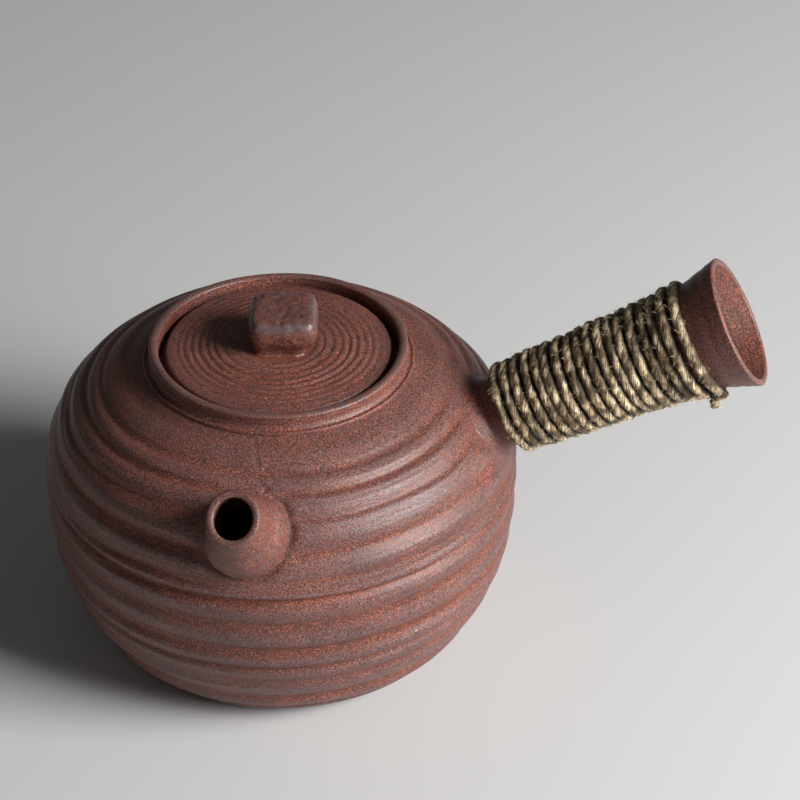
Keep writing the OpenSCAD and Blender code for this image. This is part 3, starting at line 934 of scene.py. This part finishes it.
class TEAPOT_OT_pot_wall(bpy.types.Operator):
    """Throws the pot: its ringed wall, its ledge and its hollow"""
    bl_idname = "teapot.pot_wall"
    bl_label = "Pot wall"

    def execute(self, context):
        """Turns the outline, rings it, leaves the marks of the hand and cuts the outlet."""
        scene = context.scene
        sizes = scene.teapot_pot
        pot = PotShape(sizes)
        spout = Axis(pot, scene.teapot_spout)
        handle = Axis(pot, scene.teapot_handle)
        outline, turn, fade, wear = self.outline(pot)
        angles = self.column_angles(count=272, dense_at=scene.teapot_spout.heading)
        grid = round_and_round(outline, angles)
        left = (self.rings_left(grid, spout, near=11.8 * MM, far=14 * MM)
                * self.rings_left(grid, handle, near=13.5 * MM, far=18 * MM))
        back_dip = 0.3 * ramp(-grid[..., 0], 10 * MM, 45 * MM) * (1 - ramp(turn, 1.8, 3))[:, None]
        marks = {"turn": turn[:, None] - back_dip, "fade": fade[:, None] * left, "wear": wear}
        piece = grid_mesh("pot_wall", grid, marks, poles=True)
        throw(piece, scene, ring_depth=sizes.ring_depth, wander=0.12, wander_scale=14.0,
              fine_depth=sizes.fine_depth, fine_lines=3.2, wobble=0.25 * MM, seed=2.0)
        press(piece, self.hand_marks(pot))
        self.crease(piece, spout, scene.teapot_spout.root_d / 2)
        self.cut_outlet(pot, spout, piece)
        seat(piece, "pot", "pot_body")
        return {"FINISHED"}

    def column_angles(self, count, dense_at):
        """Angles of the columns, closer together round the spout."""
        even = np.linspace(-math.pi, math.pi, 4000)
        apart = np.abs((even - dense_at + math.pi) % TURN - math.pi)
        weight = np.cumsum(1 + 1.7 * bell(apart, 0, 0.6))
        weight = (weight - weight[0]) / (weight[-1] - weight[0])
        return np.interp(np.arange(count) / count, weight, even)

    def outline(self, pot):
        """The closed section of the pot, and the ring count, ring strength and wear at its points."""
        sizes = pot.sizes
        edge = 1.6 * MM
        side_run = pot.far[-1]
        far = np.arange(edge, side_run - edge, 0.45 * MM)
        side = pot.outline(far)
        side_fade = 0.4 * ramp(far, 2 * MM, 8 * MM) + 0.6 * ramp(far, 8 * MM, 28 * MM)
        side_fade = side_fade * ramp(side_run - far, 0, 10 * MM)
        collar_in_r = pot.collar_r - sizes.collar_wall
        ledge_z = pot.seat_z - sizes.ledge_drop
        ceiling_z = ledge_z - sizes.ledge_t
        hollow_far = np.arange(0, side_run, 2.2 * MM)
        hollow = pot.outline(hollow_far) - pot.outward(hollow_far) * sizes.wall
        floor_round = 3 * MM
        keep = (hollow[:, 1] < ceiling_z - edge) & (hollow[:, 1] > sizes.floor_t + floor_round / 2)
        ceiling_r = np.interp(ceiling_z, hollow[::-1, 1], hollow[::-1, 0])
        floor_r = np.interp(sizes.floor_t, hollow[::-1, 1], hollow[::-1, 0]) - floor_round
        hollow = hollow[keep]
        mouth_r = sizes.mouth_d / 2
        mouth = rounded([(pot.collar_r, pot.seat_z), (collar_in_r, pot.seat_z), (collar_in_r, ledge_z),
                         (mouth_r, ledge_z), (mouth_r, ceiling_z), (ceiling_r, ceiling_z), hollow[0]],
                        radius=0.5 * MM)
        floor = rounded([hollow[-1], (floor_r, sizes.floor_t), (0, sizes.floor_t)], 2 * MM)
        foot = rounded([side[-1], pot.outline(np.array([side_run - 0.6 * MM]))[0],
                        (sizes.foot_d / 2 - sizes.foot_edge, 0), (0, 0)], 1.2 * MM)
        hollow_fade = 0.45
        parts = [
            (filled_in(foot[::-1], 5 * MM), 0),
            (side[::-1][1:], side_fade[::-1][1:]),
            (filled_in(mouth, 2 * MM), 0),
            (hollow[1:], hollow_fade),
            (filled_in(floor[1:], 5 * MM), 0),
        ]
        outline = np.concatenate([points for points, _ in parts])
        fade = np.concatenate([np.broadcast_to(strength, len(points)) for points, strength in parts])
        turn = pot.turns(np.interp(outline[:, 1], pot.side[::-1, 1], pot.far[::-1]))
        wear = np.where((outline[:, 1] < 2 * MM) & (outline[:, 0] > sizes.foot_d / 2 - 3 * MM), 0.6, 0)
        return outline, turn, fade, wear

    def rings_left(self, grid, axis, near, far):
        """How much of the rings is left where a piece was luted on."""
        along, across = axis.from_axis(grid)
        apart = np.linalg.norm(across, axis=2)
        return np.where(along > -25 * MM, 0.1 + 0.9 * ramp(apart, near, far), 1)

    def crease(self, piece, axis, radius):
        """Presses a narrow crease into the wall round the foot of the spout, except on its trimmed side."""
        along, across = axis.from_axis(points_of(piece)[0])
        apart = np.linalg.norm(across, axis=1)
        cosine = across @ axis.across(TRIMMED_SIDE) / np.maximum(apart, MM)
        depth = 0.5 * MM * bell(apart, radius + 0.1 * MM, 0.7 * MM) * (1 - trimmed_share(cosine))
        raise_points(piece, np.where(along > -14 * MM, -depth, 0))

    def hand_marks(self, pot):
        """The crease where the wall was wiped above the spout, and the small pits beside it."""
        marks = []
        lip_beside_deg = 1.1
        for start, end in zip(np.array(WIPE_LINE[:-1]), np.array(WIPE_LINE[1:])):
            for part in np.linspace(0, 1, 12, endpoint=False):
                heading, far = start + (end - start) * part
                marks.append((pot.place(heading, far), 0.8 * MM, 0.1 * MM))
                marks.append((pot.place(heading + lip_beside_deg, far), 0.8 * MM, -0.04 * MM))
        for heading, far, radius, depth in PITS:
            marks.append((pot.place(heading, far), radius * MM, depth * MM))
        return marks

    def cut_outlet(self, pot, axis, piece):
        """Bores the outlet through the wall, behind the spout."""
        angles = even_angles(48)
        radius = pot.sizes.outlet_d / 2
        inner_end = -14 * MM
        outer_end = 6 * MM
        rows = [axis.points(np.full(len(angles), at), np.full(len(angles), r), angles)
                for at, r in ((inner_end, 0), (inner_end, radius), (outer_end, radius), (outer_end, 0))]
        drill = grid_mesh("outlet_drill", np.array(rows), {}, poles=True)
        cut = piece.modifiers.new("outlet", "BOOLEAN")
        cut.object = drill
        cut.operation = "DIFFERENCE"
        cut.solver = "MANIFOLD"
        bake(piece)
        bpy.data.objects.remove(drill)


class TEAPOT_OT_collar(bpy.types.Operator):
    """Turns the low collar round the mouth"""
    bl_idname = "teapot.collar"
    bl_label = "Mouth collar"

    def execute(self, context):
        """Turns the collar's section, with a bead at its foot and a worn lip."""
        low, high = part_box("mouth_collar")
        inner = high.x - context.scene.teapot_pot.collar_wall
        section = curve_through([
            (inner + out * MM, level + up * MM)
            for points, level in ((COLLAR_FOOT_IN, low.z), (COLLAR_LIP, high.z), (COLLAR_FOOT_OUT, low.z))
            for out, up in points], count=112)[:-1]
        angles = even_angles(288)
        grid = round_and_round(section, angles)
        height = np.clip((section[:, 1] - low.z) / (high.z - low.z), 0, 1)
        sway = 0.2 * np.sin(2 * angles + 0.7) + 0.12 * np.sin(5 * angles + 2.0) - 0.15
        grid[..., 2] += (height ** 2)[:, None] * sway * MM
        bead = bell(section[:, 0], high.x + 1.3 * MM, 0.4 * MM) * (section[:, 1] > low.z)
        marks = {"turn": 2.6 * height, "fade": 2 * height * (1 - height),
                 "wear": np.maximum(0.5 * ramp(height, 0.74, 0.95), 0.2 * bead)}
        piece = grid_mesh("collar_ring", grid, marks, poles=False)
        throw(piece, context.scene, ring_depth=0.14 * MM, wander_scale=30.0, fine_depth=0.12 * MM,
              wobble=0.12 * MM, bloom=-0.5, seed=5.0)
        seat(piece, "pot", "mouth_collar")
        return {"FINISHED"}


class TEAPOT_OT_spout(bpy.types.Operator):
    """Turns the spout and lutes it to the wall"""
    bl_idname = "teapot.spout"
    bl_label = "Spout"

    def execute(self, context):
        """Sets rings of points along the axis, from the wall to the lip and back down the bore."""
        sizes = context.scene.teapot_spout
        pot = PotShape(context.scene.teapot_pot)
        tube = Tube(Axis(pot, sizes))
        tip = sizes.reach
        outside = self.outside(sizes)
        oval = 0.05 * np.cos(2 * tube.angles)
        trimmed = 0.15 * trimmed_share(np.cos(tube.angles - TRIMMED_SIDE))

        def radius_at(at, thick):
            part = np.clip(at / tip, 0, 1)
            radius = np.interp(at, outside[:, 0], outside[:, 1]) - thick
            return radius * (1 + oval * part - trimmed * (1 - ramp(part, 0.1, 0.6)))

        leave = tube.axis.leaves(pot, sizes.root_d / 2, tube.angles) - SINK
        lip_round = 0.4 * MM
        lip_at = tip - lip_round
        for part in np.linspace(0, 1, 64):
            at = leave + (lip_at - leave) * part
            crease = 0.45 * MM * (1 - ramp(part, 0.03, 0.11))
            tube.add(at, radius_at(at, crease), turn=part * 5, wear=0.1 * ramp(part, 0.93, 1),
                     fade=0.5 * ramp(part, 0.1, 0.25) * (1 - ramp(part, 0.85, 1)))
        for turn in np.linspace(0, math.pi, 9)[1:]:
            thick = sizes.tip_wall / 2 * (1 - math.cos(turn))
            tube.add(lip_at + lip_round * math.sin(turn), radius_at(tip, thick), turn=0.5, fade=1.3)
        bore_end = tube.axis.leaves(pot, sizes.root_d / 2 - sizes.root_wall, tube.angles) - SINK
        for part in np.linspace(0.03, 1, 30):
            at = lip_at + (bore_end - lip_at) * part
            tube.add(at, radius_at(at, sizes.tip_wall + (sizes.root_wall - sizes.tip_wall) * part))
        piece = tube.piece("spout_tube")
        throw(piece, context.scene, ring_depth=0.34 * MM, sharpness=2.6, wander=0.3, wander_scale=30.0,
              fine_depth=0.34 * MM, wobble=0.22 * MM, bloom=-0.4, seed=9.0)
        seat(piece, "pot", "spout")
        return {"FINISHED"}

    def outside(self, sizes):
        """The outside as (distance along the axis, radius): a rounded bell, a groove and a tapered nozzle."""
        root_r = sizes.root_d / 2
        tip_r = sizes.tip_d / 2
        bell_points = [(at * MM, root_r + out * MM) for at, out in SPOUT_BELL]
        nozzle_points = [(at * MM, tip_r + out * MM) for at, out in SPOUT_NOZZLE]
        return curve_through([*bell_points, *nozzle_points, (sizes.reach, tip_r)], count=240)


class TEAPOT_OT_handle(bpy.types.Operator):
    """Turns the hollow handle and lutes it to the wall"""
    bl_idname = "teapot.handle"
    bl_label = "Handle"

    def execute(self, context):
        """Sets rings of points from the flared root along the taper to the rim, and back down the bore."""
        sizes = context.scene.teapot_handle
        pot = PotShape(context.scene.teapot_pot)
        tube = Tube(Axis(pot, sizes))
        root_r = sizes.root_d / 2
        rim_at = sizes.reach - sizes.rim_round
        flare_at = sizes.reach - sizes.flare_len
        leave = tube.axis.leaves(pot, root_r, tube.angles)
        neck = np.maximum(sizes.neck_at, leave + 1.6 * MM)
        tube.add(leave - SINK, root_r)
        for part in np.linspace(0, 1, 16):
            at = leave + (neck - leave) * part
            spread = (root_r - sizes.neck_d / 2) * (1 - part) ** 2.4
            tube.add(at, clay_radius(sizes, at) + spread, wear=0.4 * (part < 0.15))
        for part in np.linspace(0.02, 1, 20):
            at = neck + (flare_at - neck) * part
            tube.add(at, clay_radius(sizes, at))
        for part in np.linspace(0.03, 1, 40):
            at = flare_at + (rim_at - flare_at) * part
            tube.add(at, clay_radius(sizes, at), turn=part * 5, fade=0.4 * (1 - part ** 6),
                     wear=0.3 * ramp(part, 0.95, 1))
        rim_r = (sizes.flare_d - sizes.rim_wall) / 2
        for turn in np.linspace(0.2, math.pi - 0.2, 8):
            tube.add(rim_at + sizes.rim_round * math.sin(turn),
                     rim_r + sizes.rim_wall / 2 * math.cos(turn), wear=0.35)
        for part in np.linspace(1, 0.03, 40):
            at = flare_at + (rim_at - flare_at) * part
            thick = sizes.wall + (sizes.rim_wall - sizes.wall) * part
            tube.add(at, clay_radius(sizes, at) - thick, turn=part * 6, fade=0.4 * (1 - part ** 6))
        bore_end = tube.axis.leaves(pot, sizes.neck_d / 2 - sizes.wall, tube.angles) - SINK
        for part in np.linspace(0, 1, 24):
            at = flare_at + (bore_end - flare_at) * part
            tube.add(at, clay_radius(sizes, at) - sizes.wall)
        piece = tube.piece("handle_tube")
        throw(piece, context.scene, ring_depth=0.3 * MM, wander_scale=40.0, fine_depth=0.3 * MM,
              wobble=0.5 * MM, bloom=-0.5, seed=12.0)
        seat(piece, "pot", "handle")
        return {"FINISHED"}


class TEAPOT_OT_twine(bpy.types.Operator):
    """Winds the twine round the handle and knots its end"""
    bl_idname = "teapot.twine"
    bl_label = "Twine"

    def execute(self, context):
        """Works out the paths of the winding and its knot, and lays the yarns along them."""
        scene = context.scene
        sizes = scene.teapot_twine
        axis = Axis(PotShape(scene.teapot_pot), scene.teapot_handle)
        path, out = self.winding_path(sizes, scene.teapot_handle, axis)
        winding = self.lay_twine(scene, "twine_winding", path, out, diameter=sizes.diameter * LAID_SWELL,
                                 lay=sizes.lay, step=0.68 * MM, hairs_per_square_metre=2.9e5, seed=4)
        seat(winding, "pot", "handle_twine")
        knot_path = self.knot_path(sizes, axis, path[-1])
        knot = self.lay_twine(scene, "twine_end_knot", knot_path, out[-1], diameter=2.5 * MM, lay=8 * MM,
                              step=0.4 * MM, hairs_per_square_metre=9.0e5, seed=8)
        seat(knot, "pot", "twine_knot")
        return {"FINISHED"}

    def lay_twine(self, scene, name, path, out, **values):
        """Twine along a path. out is the direction out from the handle, at each point or for all of them."""
        mesh = bpy.data.meshes.new(name)
        mesh.from_pydata(path.tolist(), [(k, k + 1) for k in range(len(path) - 1)], [])
        stored = mesh.attributes.new("out", "FLOAT_VECTOR", "POINT")
        stored.data.foreach_set("vector", np.broadcast_to(out, path.shape).astype(np.float32).ravel())
        piece = add_object(name, mesh)
        sizes = scene.teapot_twine
        jute = shared(bpy.data.materials, "Laid jute twine", jute_material, scene.teapot_finish)
        laid = shared(bpy.data.node_groups, "Laid twine", laid_twine_tree)
        shape_with(piece, laid, yarns=sizes.yarns, sides=8, hair_length=sizes.hair_len,
                   hair_thickness=0.04 * MM, material=jute, **values)
        return piece

    def winding_path(self, sizes, handle, axis):
        """An uneven helix on the handle, and its outward directions. The last turn slips at the top."""
        start = 0.2
        steps_per_turn = 48
        turn = np.linspace(start, sizes.turns, steps_per_turn * sizes.turns + 1)
        uneven = 0.34 * np.sin(2.1 * turn + 0.4) * np.sin(0.37 * TURN * turn) + 0.2 * np.sin(5.3 * turn)
        last = turn - sizes.turns
        slip = sizes.last_slip * ramp(last, -1.05, -0.42) * (1 + 0.5 * ramp(last, -0.4, 0))
        at = handle.neck_at + sizes.diameter / 2 + sizes.pitch * turn + uneven * MM + slip
        lift = 0.2 * np.sin(3.7 * turn + 1) * np.sin(1.9 * turn) + 0.1 * np.sin(11.3 * turn)
        tucked = 1.2 * MM * np.clip(1 - (turn - start) / 0.08, 0, 1) + 0.7 * MM * ramp(last, -1.1, -0.7)
        radius = clay_radius(handle, at) + sizes.diameter / 2 + 0.15 * MM + lift * MM - tucked
        wound = axis.points(at, radius, sizes.wind_end + TURN * last)
        towards = self.tail_direction(sizes, axis)
        tail = [wound[-1] + towards * far for far in np.linspace(0, sizes.tail_len, 8)[1:]]
        out = axis.across(sizes.wind_end + TURN * np.concatenate([last, np.zeros(len(tail))]))
        return np.concatenate([wound, tail]), out

    def tail_direction(self, sizes, axis):
        """Direction in which the loose end leaves the winding."""
        level = axis.upward * -math.sin(sizes.wind_end) + axis.aside * math.cos(sizes.wind_end)
        return level * math.cos(sizes.tail_slant) + axis.along * math.sin(sizes.tail_slant)

    def knot_path(self, sizes, axis, start):
        """An overhand knot in the loose end, and the short stub that bends away past it."""
        towards = self.tail_direction(sizes, axis)
        out = axis.across(sizes.wind_end)
        out = out - towards * (out @ towards)
        out = out / np.linalg.norm(out)
        side = np.cross(towards, out)
        t = np.linspace(-2.05, 2.05, 120)
        along = t ** 5 / 5 - 2 * t
        along = (along - along[0]) / (along[-1] - along[0]) * sizes.knot_len
        wide = (t ** 3 - 3 * t) * 0.55 * MM
        high = (t ** 4 - 4 * t ** 2 + 2) * 0.42 * MM
        knot = start + np.outer(along, towards) + np.outer(wide, side) + np.outer(high, out)
        stub_len = 2.2 * MM
        stub_bend = 60
        far = np.linspace(0, stub_len, 8)[1:]
        stub = knot[-1] + np.outer(far, towards) + np.outer(stub_bend * far ** 2, out)
        return np.concatenate([knot, stub])


class TEAPOT_OT_lid(bpy.types.Operator):
    """Turns the low lid that sits inside the collar"""
    bl_idname = "teapot.lid"
    bl_label = "Lid"

    def execute(self, context):
        """Turns the lid's section, with fine rings on its top and two thin welts round the knob."""
        sizes = context.scene.teapot_lid
        low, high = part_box("lid")
        radius = high.x
        edge_z = low.z + sizes.edge_t
        top_r = radius - 2.5 * MM
        edge = rounded([(0, low.z), (radius, low.z), (radius, edge_z), (top_r, edge_z + 0.2 * MM)],
                       radius=0.9 * MM, steps=6)
        knob_seat_r = 10 * MM
        inner_welt_r = 12.5 * MM
        outer_welt_r = 16.1 * MM
        far = np.arange(top_r, 0, -0.28 * MM)
        dome = edge_z + (high.z - edge_z) * (radius ** 2 - far ** 2) / (radius ** 2 - knob_seat_r ** 2)
        welts = bell(far, inner_welt_r, 0.4 * MM) + 0.8 * bell(far, outer_welt_r, 0.4 * MM)
        top = np.stack([far, np.minimum(dome, high.z) + 0.16 * MM * welts], axis=1)
        outline = np.concatenate([filled_in(edge[:-1], 2 * MM), top, [(0, high.z)]])
        grid = round_and_round(outline, even_angles(256))
        out = outline[:, 0]
        inward = np.clip((radius - out) / (radius - knob_seat_r), 0, 1)
        on_top = outline[:, 1] > edge_z + 0.1 * MM
        fade = on_top * (0.4 + 0.2 * ramp(radius - out, 2 * MM, 7 * MM)) * ramp(out, 0, 2 * MM)
        wear = 0.2 * (out > radius - 1.2 * MM) + 0.2 * on_top * bell(out, inner_welt_r, 0.6 * MM)
        marks = {"turn": sizes.rings * inward ** 0.85, "fade": fade, "wear": wear}
        piece = grid_mesh("lid_disc", grid, marks, poles=True)
        throw(piece, context.scene, ring_depth=sizes.ring_depth, sharpness=1.3, wander=0.45,
              wander_scale=26.0, fine_depth=0.16 * MM, fine_lines=2.3, wobble=0.15 * MM, bloom=-0.15,
              seed=21.0)
        seat(piece, "lid", "lid")
        return {"FINISHED"}


class TEAPOT_OT_knob(bpy.types.Operator):
    """Pinches the square knob on the lid"""
    bl_idname = "teapot.knob"
    bl_label = "Knob"

    def execute(self, context):
        """Turns a rounded square section that swells above its waist, leans it and presses it by hand."""
        sizes = context.scene.teapot_lid
        low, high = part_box("lid_knob")
        half = sizes.knob_w / 2
        tall = high.z - low.z
        section = np.array([half, tall]) * curve_through(KNOB_SECTION, count=120)
        angles = even_angles(144)
        squareness = 6.0
        square = (np.abs(np.cos(angles)) ** squareness
                  + np.abs(np.sin(angles)) ** squareness) ** (-1 / squareness)
        grid = round_and_round(section, angles + sizes.knob_turn)
        grid[..., :2] *= square[None, :, None]
        height = np.clip(section[:, 1] / tall, 0, 1)
        grid[..., 0] += (sizes.knob_lean * (0.2 + 0.8 * ramp(height, 0, 0.5)))[:, None]
        grid[..., 2] += low.z
        wear = 0.75 * bell(height, 0.88, 0.13)[:, None] * (0.6 + 0.4 * np.abs(np.cos(2 * angles)) ** 0.5)
        # The crest mark takes the grey bloom and its painted sheen off the lower half, which shows more
        # ember.
        marks = {"wear": wear, "crest": -0.6 * (1 - ramp(height, 0.5, 0.85))}
        piece = grid_mesh("knob_block", grid, marks, poles=True)
        lumps = [self.lump(Vector(point)) for point in points_of(piece)[0]]
        raise_points(piece, np.array(lumps) * MM)
        press(piece, self.finger_marks(half, high.z, sizes.knob_lean))
        piece.data.materials.append(knob_clay(context.scene.teapot_finish))
        seat(piece, "lid", "lid_knob")
        return {"FINISHED"}

    def lump(self, point):
        """Unevenness of the pinched clay in millimetres: broad lumps with small ones on them."""
        return 0.3 * noise.noise(point * 150.0) + 0.22 * noise.noise(point * 560.0 + Vector((5, 2, 8)))

    def finger_marks(self, half, top, lean):
        """A crease that runs forward over the top, and dents on its front edge and sides."""
        marks = [((lean + (0.1 - 0.1 * part) * half, (-0.1 - 0.75 * part) * half, top - 0.6 * MM * part ** 3),
                  1.0 * MM, 0.14 * MM) for part in np.linspace(0, 1, 9)]
        marks.append(((lean - 0.3 * half, -0.85 * half, top - 0.8 * MM), 2.6 * MM, 0.35 * MM))
        marks.append(((lean + 0.75 * half, -0.5 * half, top - 0.6 * MM), 2.0 * MM, -0.25 * MM))
        marks.append(((0, -half, top - 5.5 * MM), 4.0 * MM, 0.3 * MM))
        return marks


class TEAPOT_OT_inner_pieces(bpy.types.Operator):
    """Finishes the strainer inside the wall and the flange under the lid"""
    bl_idname = "teapot.inner_pieces"
    bl_label = "Strainer and flange"

    def execute(self, context):
        """Gives the two inner pieces the same clay."""
        clay = thrown_clay(context.scene.teapot_finish)
        for node in ("strainer", "lid_flange"):
            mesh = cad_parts[node].data
            mesh.materials.clear()
            mesh.materials.append(clay)
        return {"FINISHED"}


class TEAPOT_OT_stage(bpy.types.Operator):
    """Sets the camera, the pale floor and soft light"""
    bl_idname = "teapot.stage"
    bl_label = "Stage"

    def execute(self, context):
        """Makes the camera, floor, lamps and sky."""
        sizes = context.scene.teapot_stage
        context.scene.view_settings.view_transform = "Standard"
        self.make_camera(context, sizes)
        self.make_floor(sizes)
        self.make_lamp("key_lamp", sizes.key_azimuth, sizes.key_elevation, distance=1.2, size=0.6,
                       power=sizes.key_power)
        self.make_lamp("fill_lamp", math.radians(-60), math.radians(40), distance=1.6, size=1.4,
                       power=sizes.fill_power)
        world = bpy.data.worlds.new("Studio")
        world.use_nodes = True
        sky = world.node_tree.nodes["Background"]
        sky.inputs["Color"].default_value = (1, 1, 1, 1)
        sky.inputs["Strength"].default_value = sizes.sky
        context.scene.world = world
        return {"FINISHED"}

    def aim(self, thing, target, azimuth, elevation, distance):
        """Places a lamp or the camera at a distance from its target, and points it there."""
        back = Vector((math.sin(azimuth) * math.cos(elevation), -math.cos(azimuth) * math.cos(elevation),
                       math.sin(elevation)))
        thing.location = target + back * distance
        thing.rotation_euler = (-back).to_track_quat("-Z", "Y").to_euler()

    def make_camera(self, context, sizes):
        """The camera at the photograph's angle."""
        data = bpy.data.cameras.new("camera")
        data.lens = sizes.lens
        data.sensor_width = 36
        data.clip_start = 0.05
        camera = add_object("camera", data)
        self.aim(camera, CAMERA_TARGET, sizes.azimuth, sizes.elevation, sizes.distance)
        context.scene.camera = camera

    def make_floor(self, sizes):
        """A wide pale floor, just below the foot."""
        half = 4.0
        mesh = bpy.data.meshes.new("floor")
        corners = [(-half, -half, 0), (half, -half, 0), (half, half, 0), (-half, half, 0)]
        mesh.from_pydata(corners, [], [(0, 1, 2, 3)])
        floor = add_object("floor", mesh)
        floor.location.z = -0.05 * MM
        material, _, shader = new_material("Pale floor")
        shader.inputs["Base Color"].default_value = sizes.floor
        shader.inputs["Roughness"].default_value = 0.9
        mesh.materials.append(material)

    def make_lamp(self, name, azimuth, elevation, distance, size, power):
        """A square soft lamp that points at the pot."""
        data = bpy.data.lights.new(name, "AREA")
        data.shape = "SQUARE"
        data.size = size
        data.energy = power
        self.aim(add_object(name, data), LAMP_TARGET, azimuth, elevation, distance)


PIECE_OPERATORS = ("pot_wall", "collar", "spout", "handle", "twine", "lid", "knob", "inner_pieces")


class TEAPOT_PT_sidebar(bpy.types.Panel):
    """Lists the steps that dress the teapot"""
    bl_idname = "TEAPOT_PT_sidebar"
    bl_label = "Side-handle teapot"
    bl_space_type = "VIEW_3D"
    bl_region_type = "UI"
    bl_category = "Teapot"

    def draw(self, context):
        """Shows a button for the stage and for each piece."""
        self.layout.operator("teapot.stage")
        for name in PIECE_OPERATORS:
            self.layout.operator("teapot." + name)


GROUPS = (
    ("teapot_pot", PotSizes),
    ("teapot_spout", SpoutSizes),
    ("teapot_handle", HandleSizes),
    ("teapot_twine", TwineSizes),
    ("teapot_lid", LidSizes),
    ("teapot_finish", Finishes),
    ("teapot_stage", StageSizes),
)
CLASSES = (
    TEAPOT_OT_stage, TEAPOT_OT_pot_wall, TEAPOT_OT_collar, TEAPOT_OT_spout, TEAPOT_OT_handle, TEAPOT_OT_twine,
    TEAPOT_OT_lid, TEAPOT_OT_knob, TEAPOT_OT_inner_pieces, TEAPOT_PT_sidebar,
)


def register():
    """Registers the sizes, the operators and the panel."""
    for name, group in GROUPS:
        bpy.utils.register_class(group)
        setattr(bpy.types.Scene, name, PointerProperty(type=group))
    for item in CLASSES:
        bpy.utils.register_class(item)


def unregister():
    """Takes everything back out."""
    for item in reversed(CLASSES):
        bpy.utils.unregister_class(item)
    for name, group in reversed(GROUPS):
        delattr(bpy.types.Scene, name)
        bpy.utils.unregister_class(group)


def main():
    """Builds the stage and every piece."""
    register()
    bpy.ops.teapot.stage()
    for name in PIECE_OPERATORS:
        getattr(bpy.ops.teapot, name)()


if __name__ == "__main__":
    main()
